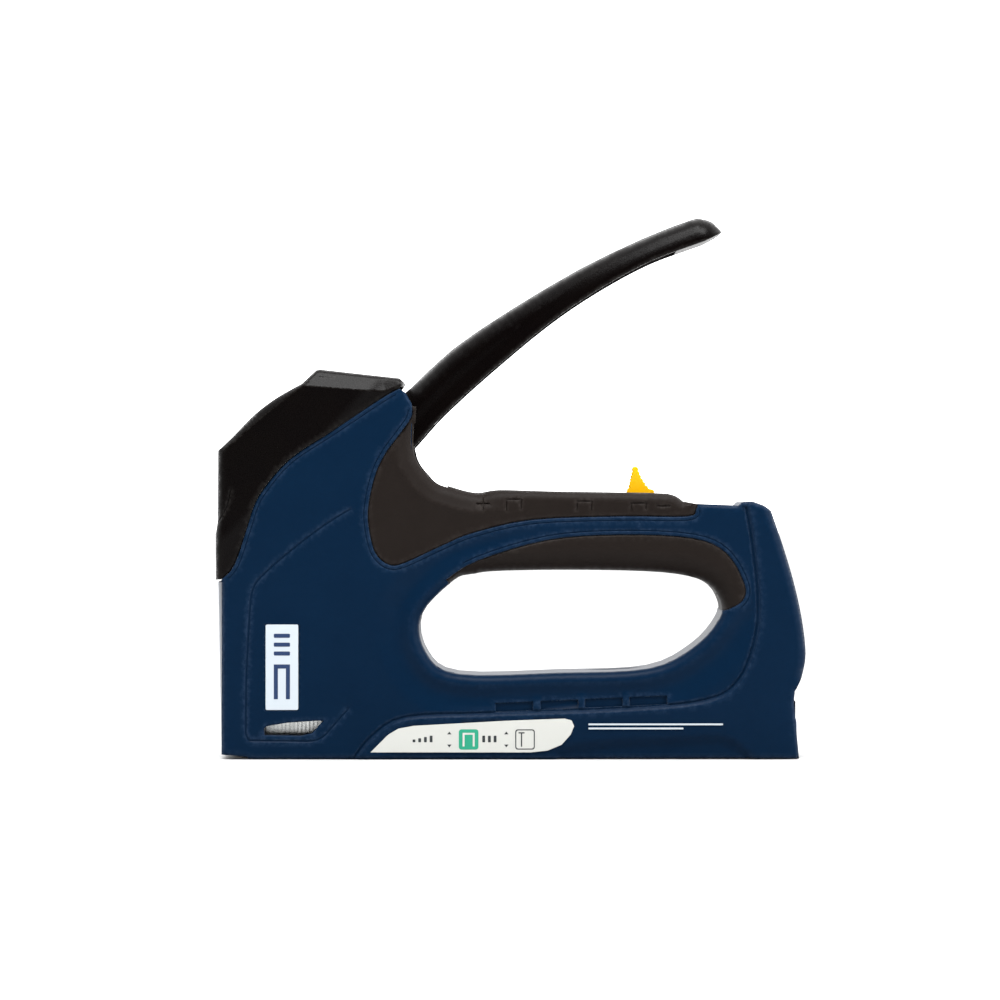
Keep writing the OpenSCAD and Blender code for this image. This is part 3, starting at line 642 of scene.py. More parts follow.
@dataclass(frozen=True)
class Finish:
    """A surface as its maker would order it, turned to shader nodes, with a painted highlight along its
    convex edges.

    Grain and mottle are sizes in millimetres; depths are in millimetres too.
    """

    name: str
    slot: str
    colour: str
    shade_colour: str
    roughness: float
    roughness_spread: float = 0.08
    metallic: float = 0.0
    ior: float = 1.5
    specular: float = 0.5
    grain: float = 0.4
    grain_depth: float = 0.01
    mottle: float = 8.0
    mottle_share: float = 0.35
    coat: float = 0.0
    coat_roughness: float = 0.2
    sheen: float = 0.0
    # Colour and share of the painted highlight: a lighter colour along convex edges standing in for rim
    # light.
    highlight_colour: str = "#8b8c8e"
    highlight_share: float = 0.0
    brushed: tuple[float, float, float] = (1.0, 1.0, 1.0)

    def material(self) -> bpy.types.Material:
        """Builds the material once and returns it."""
        found = bpy.data.materials.get(self.name)
        if found:
            return found
        made = bpy.data.materials.new(self.name)
        made.use_nodes = True
        tree = made.node_tree
        tree.nodes.clear()
        place = add_node(tree, "ShaderNodeTexCoord").outputs["Object"]
        stretched = add_node(tree, "ShaderNodeMapping", {"Vector": place}, Scale=self.brushed)
        patch = add_node(tree, "ShaderNodeTexNoise", {"Vector": place}, Scale=1 / (self.mottle * MM),
                         Detail=4.0, Roughness=0.6)
        grit = add_node(tree, "ShaderNodeTexNoise", {"Vector": stretched.outputs[0]},
                        Scale=1 / (self.grain * MM), Detail=3.0, Roughness=0.55)
        tint = add_node(tree, "ShaderNodeMapRange", {"Value": patch.outputs[0]},
                        From_Min=0.35, From_Max=0.65, To_Min=0.0, To_Max=self.mottle_share)
        colour = add_node(tree, "ShaderNodeMix", {"Factor": tint.outputs[0]}, data_type="RGBA")
        for index, code in ((6, self.colour), (7, self.shade_colour)):
            colour.inputs[index].default_value = linear(code)
        # Painted highlight: a lighter colour mixed in along convex edges and broken into patches by noise,
        # in place of the rim light off the edges.
        edge = add_node(tree, "ShaderNodeAttribute")
        edge.attribute_name = "edge_highlight"
        highlight_noise = add_node(tree, "ShaderNodeTexNoise", {"Vector": place}, Scale=1 / (1.6 * MM), Detail=5.0,
                       Roughness=0.7)
        highlight_patches = add_node(tree, "ShaderNodeMapRange", {"Value": highlight_noise.outputs[0]}, From_Min=0.42,
                          From_Max=0.62, To_Min=0.15, To_Max=1.0)
        share = add_node(tree, "ShaderNodeMath", {0: edge.outputs["Fac"], 1: highlight_patches.outputs[0]},
                         operation="MULTIPLY")
        amount = add_node(tree, "ShaderNodeMath", {0: share.outputs[0]}, operation="MULTIPLY")
        amount.inputs[1].default_value = self.highlight_share
        highlighted = add_node(tree, "ShaderNodeMix", {"Factor": amount.outputs[0], 6: colour.outputs[2]},
                        data_type="RGBA")
        highlighted.inputs[7].default_value = linear(self.highlight_colour)
        gloss = add_node(tree, "ShaderNodeMapRange", {"Value": grit.outputs[0]}, From_Min=0.3,
                         From_Max=0.7, To_Min=self.roughness - self.roughness_spread / 2,
                         To_Max=self.roughness + self.roughness_spread / 2)
        bump = add_node(tree, "ShaderNodeBump", {"Height": grit.outputs[0]}, Strength=1.0,
                        Distance=self.grain_depth * MM)
        shader = add_node(tree, "ShaderNodeBsdfPrincipled",
                          {"Base Color": highlighted.outputs[2], "Roughness": gloss.outputs[0],
                           "Normal": bump.outputs[0]},
                          Metallic=self.metallic)
        if not self.metallic:
            shader.inputs["IOR"].default_value = self.ior
            shader.inputs["Specular IOR Level"].default_value = self.specular
        shader.inputs["Coat Weight"].default_value = self.coat
        shader.inputs["Coat Roughness"].default_value = self.coat_roughness
        shader.inputs["Sheen Weight"].default_value = self.sheen
        shader.inputs["Sheen Roughness"].default_value = 0.4
        add_node(tree, "ShaderNodeOutputMaterial", {"Surface": shader.outputs[0]})
        return made


class Finishes:
    """Every finish on the tool."""

    # Die-cast aluminium under navy powder coat: satin, with a fine orange peel.
    powder_coat = Finish("navy_powder_coat", "blue_cast", "#011930", "#031d35", 0.42, grain=0.7,
                         grain_depth=0.014, mottle=14, specular=0.05, sheen=0.05,
                         highlight_colour="#33455e", highlight_share=0.3)
    # Glass-filled nylon off a spark-eroded mould: near black, slightly warm, fine and even.
    black_nylon = Finish("black_moulded_nylon", "black_plastic", "#030101", "#060302", 0.28,
                         specular=0.06, sheen=0.08, highlight_colour="#2c2a28", highlight_share=0.45,
                         grain=0.35, grain_depth=0.02, mottle=10)
    # Soft rubber overmoulding: warm grey-black and matt, with a faint sheen and a painted highlight along
    # its edges.
    soft_rubber = Finish("soft_overmould_rubber", "soft_grip", "#17110e", "#1b1512", 0.55,
                         specular=0.1, sheen=0.06, highlight_colour="#3a3532", highlight_share=0.35,
                         grain=0.3, grain_depth=0.018, mottle=7)
    # Yellow ABS thumb piece.
    yellow_abs = Finish("yellow_moulded_abs", "yellow_plastic", "#fabd00", "#f5b200", 0.38, specular=0.15,
                        grain=0.4, grain_depth=0.008, mottle=3,
                         highlight_colour="#ffd34a", highlight_share=0.15)
    # Blue ABS catch button.
    blue_abs = Finish("blue_moulded_abs", "blue_plastic", "#18335e", "#14305c", 0.4, grain=0.4,
                      grain_depth=0.008, mottle=3,
                         highlight_colour="#4a6590", highlight_share=0.3)
    # Printed polycarbonate film: pale grey, very even.
    label_film = Finish("pale_grey_printed_film", "pale_label", "#c9cac5", "#c3c4bf", 0.4,
                        grain=0.25, grain_depth=0.002, mottle=12)
    badge_film = Finish("cool_white_printed_film", "white_badge", "#c2cbd2", "#bac4cc", 0.36,
                        grain=0.25, grain_depth=0.002, mottle=12)
    green_ink = Finish("green_printing_ink", "pale_label", "#1d9a78", "#1b9072", 0.42, grain=0.2,
                       grain_depth=0.001, mottle=6)
    navy_ink = Finish("navy_printing_ink", "white_badge", "#0b2a54", "#0d2d58", 0.42, grain=0.2,
                      grain_depth=0.001, mottle=6)
    dark_ink = Finish("dark_printing_ink", "pale_label", "#24282c", "#2a2e33", 0.45, grain=0.2,
                      grain_depth=0.001, mottle=6)
    # Bright zinc plate over pressed steel, with a faint rolling grain along X.
    zinc_plate = Finish("zinc_plated_steel", "plated_steel", "#b9bcc0", "#a5a8ad", 0.34,
                        metallic=1.0, grain=0.3, grain_depth=0.004, brushed=(0.08, 1, 1),
                         highlight_colour="#dcdee0", highlight_share=0.6)
    # Ground and hardened steel: fine grinding lines along Z.
    ground_steel = Finish("ground_hardened_steel", "bright_steel", "#c6c8ca", "#b4b6b9", 0.26,
                          metallic=1.0, grain=0.25, grain_depth=0.003, brushed=(1, 1, 0.06),
                         highlight_colour="#e6e7e8", highlight_share=0.5)
    # Tempered spring steel: dark straw to blue-grey.
    tempered_steel = Finish("tempered_spring_steel", "spring_steel", "#6b6a6c", "#57565c", 0.36,
                            metallic=1.0, grain=0.4, grain_depth=0.004, brushed=(0.1, 1, 1),
                         highlight_colour="#9a9a9b", highlight_share=0.5)
    black_screw = Finish("blackened_screw_steel", "black_steel", "#26262a", "#1c1c1f", 0.4,
                         metallic=0.8, grain=0.2, grain_depth=0.004, mottle=3,
                         highlight_colour="#8f9093", highlight_share=0.5)
    # Galvanised flat staple wire.
    staple_wire = Finish("galvanised_staple_wire", "staple_wire", "#dcdedd", "#c9cbcb", 0.28,
                         metallic=1.0, grain=0.2, grain_depth=0.003, mottle=2,
                         highlight_colour="#eef0ef", highlight_share=0.4)
    buffer_rubber = Finish("black_buffer_rubber", "rubber_buffer", "#1b1b1c", "#222223", 0.7,
                           grain=0.5, grain_depth=0.02, mottle=4)


def dress(obj: bpy.types.Object, finish: Finish) -> None:
    """Gives a new piece its finish and stores how convex its surface is at each vertex."""
    obj.data.materials.clear()
    obj.data.materials.append(finish.material())
    mark_edges(obj)


def place_piece(obj: bpy.types.Object, body: str, finish: Finish, *nodes: str) -> None:
    """Dresses a finished piece, puts it on its body and hides the CAD nodes it stands for."""
    dress(obj, finish)
    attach(obj, body)
    if nodes:
        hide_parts(*nodes)
    LOG.info("%s on %s: %d faces", obj.name, body, len(obj.data.polygons))


def eased(node: str, name: str, width: float, body: str, finish: Finish) -> None:
    """Puts in place of a CAD node the same solid with its sharp edges eased.

    Args:
        node: Name of the CAD node.
        name: Name of the piece that stands for it.
        width: Width of the eased edge in millimetres.
        body: The body that it rides on.
        finish: Its finish.
    """
    obj = cad_copy(node, name)
    select_only(obj)
    bpy.ops.object.mode_set(mode="EDIT")
    bpy.ops.mesh.select_all(action="SELECT")
    bpy.ops.mesh.dissolve_limited(angle_limit=math.radians(1))
    bpy.ops.object.mode_set(mode="OBJECT")
    apply_modifier(obj, "BEVEL", width=width * MM, segments=2, limit_method="ANGLE",
                   angle_limit=math.radians(40), use_clamp_overlap=True)
    shade(obj)
    place_piece(obj, body, finish, node)


# ---------------------------------------------------------------------------------------------
# Sub-assemblies
# ---------------------------------------------------------------------------------------------


@dataclass
class Housing:
    """The two die-cast halves, the cap over the head, the soft pads and what is fixed to them."""

    clear: float = 0.05
    edge_r: float = 3.0
    opening_r: float = 3.2
    lip_r: float = 0.55
    pad_lip_r: float = 0.8
    step: float = 0.8
    step_run: float = 1.5
    flute: float = 0.9
    line_in: float = 1.25
    pad_roll: float = 7.0
    scallop_depth: float = 1.25

    def __post_init__(self) -> None:
        self.block_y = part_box("body_right")[1].y / MM - self.clear
        self.skin_y = self.block_y - self.step
        self.pad_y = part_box("upper_grip_right")[1].y / MM
        self.cap_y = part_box("head_cap")[1].y / MM - self.clear

    def body_level(self, p: np.ndarray) -> np.ndarray:
        """Height of a half before its edges are rounded.

        Args:
            p: Points in the side view.

        Returns:
            The side with its flute round the opening, front panel, slot band, block and scallop.
        """
        block = np.vstack([Lines.rear, Lines.block_step])
        depth = np.where(inside(p, block), 1, -1) * gap_to(p, Lines.block_step)
        off_block = 1 - ease((depth + 2.5) / 2.5)
        reach = gap_to(p, Lines.opening, True)
        flute = ease((reach - self.opening_r + 0.3) / 3.8) * (1 - ease((reach - 7.0) / 7.5))
        flute = flute * ease(gap_to(p, Lines.lower_pad_seam) / 6) * (1 - inside(p, Lines.lower_pad))
        panel = np.vstack([Lines.panel, [(-30, 60)]])
        within = np.where(inside(p, panel), 1, -1) * gap_to(p, Lines.panel)
        sunk = ease((within + 0.6) / 1.2) * (1 - ease((p[:, 0] + 66) / 18))
        scallop = np.where(inside(p, Lines.scallop), 1, -1) * gap_to(p, Lines.scallop, True)
        level = self.skin_y + self.step * ease(depth / self.step_run) - 0.045 * np.maximum(depth - 2, 0)
        level = level - self.flute * flute * off_block - 0.2 * sunk
        level = np.maximum(level, self.skin_y * self.on_bump(p))
        return level - self.scallop_depth * ease((scallop + 2.6) / 2.6)

    def on_bump(self, p: np.ndarray) -> np.ndarray:
        """1 on the small bars between the slots, falling to 0 round them."""
        share = np.zeros(len(p))
        for (x, z), (after, _) in zip(Lines.slots[:-1], Lines.slots[1:]):
            centre = (x + Lines.slot_size[0] + after) / 2
            across = ease(1.5 - np.abs(p[:, 0] - centre) / 1.1)
            along = ease(1.5 - np.abs(p[:, 1] - z - 1.9) / 2.2)
            share = np.maximum(share, 0.94 + 0.06 * across * along)
        return share

    def slot_rings(self) -> list[np.ndarray]:
        """Outline of each slot under the finger opening."""
        wide, tall = Lines.slot_size
        c, s = math.cos(Lines.slot_lean), math.sin(Lines.slot_lean)
        corners = np.array([(0, 0), (wide, 0), (wide, tall), (0, tall)])
        turned = corners @ np.array([(c, s), (-s, c)])
        return [turned + place for place in Lines.slots]

    def half(self, side: Side) -> bpy.types.Object:
        """One die-cast half, rounded all over, with every pocket and hole of its CAD node."""
        outline = moved_sideways(Lines.body, inward(Lines.body) * self.clear, True)
        upper_line = moved_sideways(Lines.pad_seam, -self.line_in, False)
        lower_line = moved_sideways(Lines.lower_pad_seam, -self.line_in, False)
        skin = Skin(
            outline, self.body_level,
            edges=[
                Edge(Lines.rear_back, self.edge_r), Edge(Lines.rear_foot, 1.4),
                Edge(np.vstack([Lines.rear_back[-1:], Lines.rear_top, [(60, 80.6)]]), 1.8),
                Edge(Lines.nose[:2], 1.6), Edge(Lines.nose[1:], 0.8),
                Edge(np.array([(-82.9, 0), (91.2, 0)]), 1.3),
                Edge(Lines.opening, self.opening_r, True), Edge(Lines.cap_seam, self.lip_r),
                Edge(Lines.pad_seam, self.lip_r), Edge(Lines.head_tip, 1.2),
                Edge(Lines.lower_pad_seam, self.lip_r), Edge(Lines.window, 0.5, True),
                *(Edge(ring, 0.35, True) for ring in self.slot_rings()),
            ],
            grooves=[
                Groove(Lines.panel[Lines.panel[:, 0] < -50], 1.1, 0.36),
                Groove(moved_sideways(Lines.cap_seam, -self.line_in, False)[2:-2], 0.6, 0.3),
                Groove(upper_line[2:-4], 0.6, 0.3), Groove(lower_line[3:-3], 0.6, 0.3),
                Groove(Lines.block_step, 1.3, 0.5),
            ],
            rows=[
                moved_sideways(resample(Lines.block_step, 1.0, False), d, False)
                for d in (-1.6, -1.2, -0.8, -0.4, 0, 0.4, 0.8, 1.2, 1.6)
            ] + [
                moved_sideways(resample(Lines.opening, 1.2, True), -d, True)
                for d in (3.6, 4.4, 5.2, 6.2, 7.2, 8.4)
            ])
        obj = cad_copy(f"body_{side.name.lower()}", f"die_cast_half_{side.name.lower()}")
        combine(obj, skin.half("skin", side), "INTERSECT")
        shade(obj)
        return obj

    def cap_level(self, p: np.ndarray) -> np.ndarray:
        """Height of the cap: flat sides under a sloping bevel along its roof, and a rear facet."""
        roof = np.vstack([Lines.cap_crease, Lines.cap_top[::-1][:-4]])
        slope = np.where(inside(p, roof), gap_to(p, Lines.cap_crease), 0)
        start, end = np.array((-47.0, 116.4)), np.array((-63.0, 99.5))
        run = (end - start) / np.linalg.norm(end - start)
        beyond = np.maximum((p[:, 0] - start[0]) * -run[1] + (p[:, 1] - start[1]) * run[0], 0)
        return self.cap_y - 0.66 * slope - 0.16 * beyond * ease(beyond / 3)

    def cap(self) -> bpy.types.Object:
        """The moulded cap."""
        outline = np.vstack([Lines.cap_top, moved_sideways(Lines.cap_seam, 0.1, False)[::-1]])
        outline = moved_sideways(outline, inward(outline) * self.clear, True)
        skin = Skin(
            outline, self.cap_level,
            edges=[Edge(Lines.cap_front, 3.2), Edge(Lines.cap_top[4:], 1.2),
                   Edge(Lines.cap_seam, self.lip_r)],
            grooves=[Groove(Lines.cap_fold, 0.8, 0.3)],
            rows=[moved_sideways(resample(Lines.cap_crease, 0.8, False), d, False)
                  for d in (-0.4, 0, 0.4, 1.2)], gap=1.2)
        obj = cad_copy("head_cap", "moulded_head_cap")
        combine(obj, skin.whole("skin"), "INTERSECT")
        shade(obj, math.radians(24))
        return obj

    def upper_level(self, p: np.ndarray) -> np.ndarray:
        """Height of the upper pad: flat, with a soft ridge and a slope beside the saddle."""
        near = gap_to(p, Lines.saddle)
        fade = 1 - ease((p[:, 0] + 10) / 16)
        ridge = 0.22 * np.exp(-((near - 6.2) / 1.3) ** 2)
        return self.pad_y - 0.3 + (ridge - 0.3 * np.maximum(6.2 - near, 0)) * fade

    def upper_pad(self, side: Side) -> bpy.types.Object:
        """Soft pad round the saddle and along the top of the handle, with its moulded-in marks."""
        skin = Skin(
            Lines.upper_pad, self.upper_level,
            edges=[Edge(Lines.saddle[:-2], 3.4), Edge(Lines.pad_seam, self.pad_lip_r)],
            grooves=[Groove(mark, 0.8, 0.5) for mark in self.marks()],
            rows=[moved_sideways(resample(Lines.saddle, 1.2, False), d, False)
                  for d in (4.6, 5.4, 6.2, 7.0, 7.8)], gap=1.2)
        obj = cad_copy(f"upper_grip_{side.name.lower()}", f"soft_upper_pad_{side.name.lower()}")
        combine(obj, skin.half("skin", side), "INTERSECT")
        shade(obj)
        return obj

    def marks(self) -> list[np.ndarray]:
        """Moulded-in scale along the slider: a staple of falling height at each setting, plus and minus."""
        lines = []
        for x, tall in ((1.0, 3.0), (23.3, 2.4), (40.4, 1.8)):
            lines.append(np.array([(x - 2.3, 79.0), (x - 2.3, 79.0 + tall), (x + 2.3, 79.0 + tall),
                                   (x + 2.3, 79.0)]))
        lines.append(np.array([(-10.6, 80.6), (-6.8, 80.6)]))
        lines.append(np.array([(-8.7, 78.7), (-8.7, 82.5)]))
        lines.append(np.array([(46.8, 79.9), (50.2, 79.9)]))
        return lines

    def lower_pad(self, side: Side) -> bpy.types.Object:
        """Soft pad along the top and rear of the finger opening, rolled into it."""
        skin = Skin(
            Lines.lower_pad, lambda p: np.full(len(p), self.pad_y - self.clear),
            edges=[Edge(Lines.opening, self.pad_roll, True), Edge(Lines.lower_pad_seam, self.pad_lip_r)],
            gap=1.2)
        obj = cad_copy(f"lower_grip_{side.name.lower()}", f"soft_lower_pad_{side.name.lower()}")
        combine(obj, skin.half("skin", side), "INTERSECT")
        shade(obj)
        return obj

    def build(self) -> None:
        """Makes the halves, the cap and the pads, and eases the fixed steel pieces' edges."""
        for side in Side:
            tail = side.name.lower()
            place_piece(self.half(side), "housing", Finishes.powder_coat, f"body_{tail}")
            place_piece(self.upper_pad(side), "housing", Finishes.soft_rubber, f"upper_grip_{tail}")
            place_piece(self.lower_pad(side), "housing", Finishes.soft_rubber, f"lower_grip_{tail}")
        place_piece(self.cap(), "housing", Finishes.black_nylon, "head_cap")
        eased("nose_plate", "nose_strike_plate", 0.35, "housing", Finishes.zinc_plate)
        eased("housing_screws", "hex_socket_screws", 0.3, "housing", Finishes.black_screw)
        eased("lever_pin", "lever_pivot_pin", 0.4, "housing", Finishes.ground_steel)
        eased("leaf_clamp", "leaf_spring_clamp", 0.3, "housing", Finishes.zinc_plate)
        eased("main_leaf", "main_leaf_spring", 0.2, "housing", Finishes.tempered_steel)
        eased("helper_leaf", "helper_leaf_spring", 0.2, "housing", Finishes.tempered_steel)
        eased("buffer", "rubber_stop", 0.5, "housing", Finishes.buffer_rubber)


@dataclass
class Markings:
    """Printed film labels, plain badges and the printed lines, the same on both sides."""

    film: float = 0.3
    ink: float = 0.03
    frame_line: float = 0.35

    def flat(self, name: str, outline: Iterable[tuple[float, float]], level: float, thick: float,
             side: Side, finish: Finish) -> bpy.types.Object:
        """A thin printed shape on the housing's side.

        Args:
            name: Name of the piece.
            outline: Its corners in the side view, in millimetres.
            level: Distance of its outer face from the mid plane.
            thick: Its thickness.
            side: The side that it is on.
            finish: Its finish.

        Returns:
            The piece, dressed and riding on the housing.
        """
        low, high = sorted((side.value * level, side.value * (level - thick)))
        obj = prism(f"{name}_{side.name.lower()}", outline, low, high)
        dress(obj, finish)
        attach(obj, "housing")
        return obj

    def label(self, side: Side) -> None:
        """The film with its staple and brad pictures, size arrows and length bars."""
        tail = side.name.lower()
        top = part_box(f"label_{tail}")[1 if side is Side.RIGHT else 0].y / MM * side.value
        film = self.flat("size_label", Lines.label, top, self.film, side, Finishes.label_film)
        apply_modifier(film, "BEVEL", width=0.08 * MM, segments=2, limit_method="ANGLE")
        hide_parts(f"label_{tail}")
        ink = top + self.ink
        self.flat("staple_tile", rounded(-16.4, 3.0, 6.2, 6.4, 0.8), ink, self.ink, side, Finishes.green_ink)
        self.flat("staple_mark", bridge(-15.2, 4.0, 3.8, 4.3, 0.6), ink + self.ink, self.ink, side,
                  Finishes.label_film)
        self.flat("brad_tile", rounded(1.4, 3.0, 6.2, 6.4, 0.8), ink, self.ink, side, Finishes.dark_ink)
        self.flat("brad_face", rounded(1.4 + self.frame_line, 3.0 + self.frame_line,
                                       6.2 - 2 * self.frame_line, 6.4 - 2 * self.frame_line, 0.6),
                  ink + self.ink, self.ink, side, Finishes.label_film)
        self.flat("brad_mark", tee(3.4, 3.9, 4.6, 1.9, 0.4), ink + 2 * self.ink, self.ink, side,
                  Finishes.dark_ink)
        for number, x in enumerate((-19.4, -1.4)):
            for way in (1, -1):
                tip = 6.2 + 2.5 * way
                self.flat(f"size_arrow_{number}_{'up' if way > 0 else 'down'}",
                          [(x - 0.7, tip - 0.9 * way), (x + 0.7, tip - 0.9 * way), (x, tip)], ink,
                          self.ink, side, Finishes.dark_ink)
        for number, (x, tall) in enumerate(((-31.0, 0.9), (-29.2, 1.3), (-27.4, 1.7), (-25.6, 2.1),
                                            (-9.0, 2.1), (-7.2, 2.1), (-5.4, 2.1))):
            self.flat(f"length_bar_{number}", rounded(x, 5.3, 0.9, tall, 0.2), ink, self.ink, side,
                      Finishes.dark_ink)

    def badge(self, side: Side) -> None:
        """A plain pale plate with a staple picture and three bars in the body's blue."""
        tail = side.name.lower()
        low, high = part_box(f"badge_{tail}")
        top = (high if side is Side.RIGHT else low).y / MM * side.value
        x, z = low.x / MM, low.z / MM
        wide, tall = (high.x - low.x) / MM, (high.z - low.z) / MM
        plate = self.flat("badge_plate", rounded(x, z, wide, tall, 0.5), top, self.film, side,
                          Finishes.badge_film)
        apply_modifier(plate, "BEVEL", width=0.08 * MM, segments=2, limit_method="ANGLE")
        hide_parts(f"badge_{tail}")
        self.flat("badge_staple", bridge(x + 2.6, z + 3.4, wide - 5.2, 11.0, 1.3), top + self.ink,
                  self.ink, side, Finishes.navy_ink)
        for number in range(3):
            self.flat(f"badge_bar_{number}", rounded(x + 2.6, z + 17.2 + 2.8 * number, wide - 5.2, 1.3, 0.3),
                      top + self.ink, self.ink, side, Finishes.navy_ink)

    def build(self) -> None:
        """Makes the labels, the badges and a pair of printed lines on each side."""
        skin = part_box("body_right")[1].y / MM - 0.05
        for side in Side:
            self.label(side)
            self.badge(side)
            for number, (z, x, wide) in enumerate(((10.7, 24.5, 42.5), (9.4, 24.5, 30.0))):
                self.flat(f"printed_line_{number}", rounded(x, z, wide, 0.55, 0.2), skin + 0.02, 0.05,
                          side, Finishes.badge_film)


@dataclass
class SqueezeLever:
    """The moulded lever: a channel with a rolled top and a flared lower flange."""

    roll_r: float = 6.5
    flange: float = 3.6
    flare: float = 0.75
    hub_r: float = 9.6

    def level(self, p: np.ndarray) -> np.ndarray:
        """Height of the lever's side: out at its lower edge and sunk above the flange."""
        low = gap_to(p, Lines.lever_under)
        return self.side_y - self.flare * ease(low / (self.flange * 1.35))

    def build(self) -> None:
        """Makes the lever and eases the steel pieces that swing with it."""
        self.side_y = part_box("lever")[1].y / MM - 0.05
        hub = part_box("lever_pin")
        centre = (hub[0] + hub[1]) / 2 / MM
        turn = np.linspace(math.radians(150), math.radians(330), 14)
        root = np.column_stack([centre.x + self.hub_r * np.cos(turn), centre.z + self.hub_r * np.sin(turn)])
        outline = np.vstack([Lines.lever_over, [(-52, 104.5)], root, [(-42, 88.5)], Lines.lever_under[1:-1]])
        skin = Skin(outline, self.level, edges=[
            Edge(Lines.lever_over, self.roll_r), Edge(Lines.lever_under, 0.6)],
            rows=[moved_sideways(resample(Lines.lever_under, 1.0, False), d, False)
                  for d in (1.2, 2.0, 2.8, 3.6, 4.4, 5.2)], gap=1.2)
        obj = cad_copy("lever", "moulded_lever")
        combine(obj, skin.whole("skin"), "INTERSECT")
        shade(obj)
        place_piece(obj, "squeeze_lever", Finishes.black_nylon, "lever")
        eased("lift_arm", "steel_lift_arm", 0.25, "squeeze_lever", Finishes.zinc_plate)
        eased("lever_rivet", "lever_cross_rivet", 0.3, "squeeze_lever", Finishes.ground_steel)
        eased("roller_pin", "lift_roller_pin", 0.2, "squeeze_lever", Finishes.ground_steel)
        eased("lift_roller", "hardened_lift_roller", 0.25, "roller", Finishes.ground_steel)
        eased("hammer", "drive_hammer", 0.3, "hammer_set", Finishes.zinc_plate)
        eased("driver_blade", "hardened_driver_blade", 0.12, "hammer_set", Finishes.ground_steel)
        eased("blade_rivets", "blade_rivet_heads", 0.15, "hammer_set", Finishes.ground_steel)


@dataclass
class Adjuster:
    """The yellow thumb fin of the force adjuster, on its steel shoe."""

    teeth: int = 6
    tooth: float = 0.5

    def build(self) -> None:
        """Makes the fin with its ribbed flanks, and eases the shoe's edges."""
        low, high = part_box("adjuster_thumb")
        x0, x1, top = low.x / MM, high.x / MM, high.z / MM
        foot, base = low.z / MM, high.z / MM - 8.6
        front = self.flank(np.array([(x0 + 0.35, base + 1.4), (x0 + 1.7, top - 1.1)]))
        back = self.flank(np.array([(x0 + 3.9, top - 0.9), (x0 + 5.0, base + 5.0), (x0 + 6.4, base + 2.8),
                                    (x1 - 1.2, base + 1.3)]))
        outline = np.vstack([
            [(x0 + 0.1, foot), (x0 + 0.1, base + 0.5)], front,
            [(x0 + 2.1, top - 0.15), (x0 + 3.3, top - 0.15)], back,
            [(x1 - 0.1, base + 0.9), (x1 - 0.1, foot)]])
        wide = high.y / MM - 0.05
        fin = prism("yellow_thumb_fin", outline, -wide, wide)
        apply_modifier(fin, "BEVEL", width=0.3 * MM, segments=3, limit_method="ANGLE",
                       angle_limit=math.radians(50))
        shade(fin)
        place_piece(fin, "adjuster", Finishes.yellow_abs, "adjuster_thumb")
        eased("fulcrum_shoe", "sliding_fulcrum_shoe", 0.3, "adjuster", Finishes.zinc_plate)
        eased("detent_spring", "detent_strip", 0.08, "adjuster", Finishes.tempered_steel)

    def flank(self, line: np.ndarray) -> np.ndarray:
        """A flank of the fin cut into small ribs.

        Args:
            line: The flank's line in the side view.

        Returns:
            The ribbed line, inside the smooth one.
        """
        steps = resample(line, np.sum(np.hypot(*np.diff(line, axis=0).T)) / (2 * self.teeth), False)
        pushed = moved_sideways(steps, -self.tooth, False)
        return np.array([pushed[i] if i % 2 else steps[i] for i in range(len(steps))])


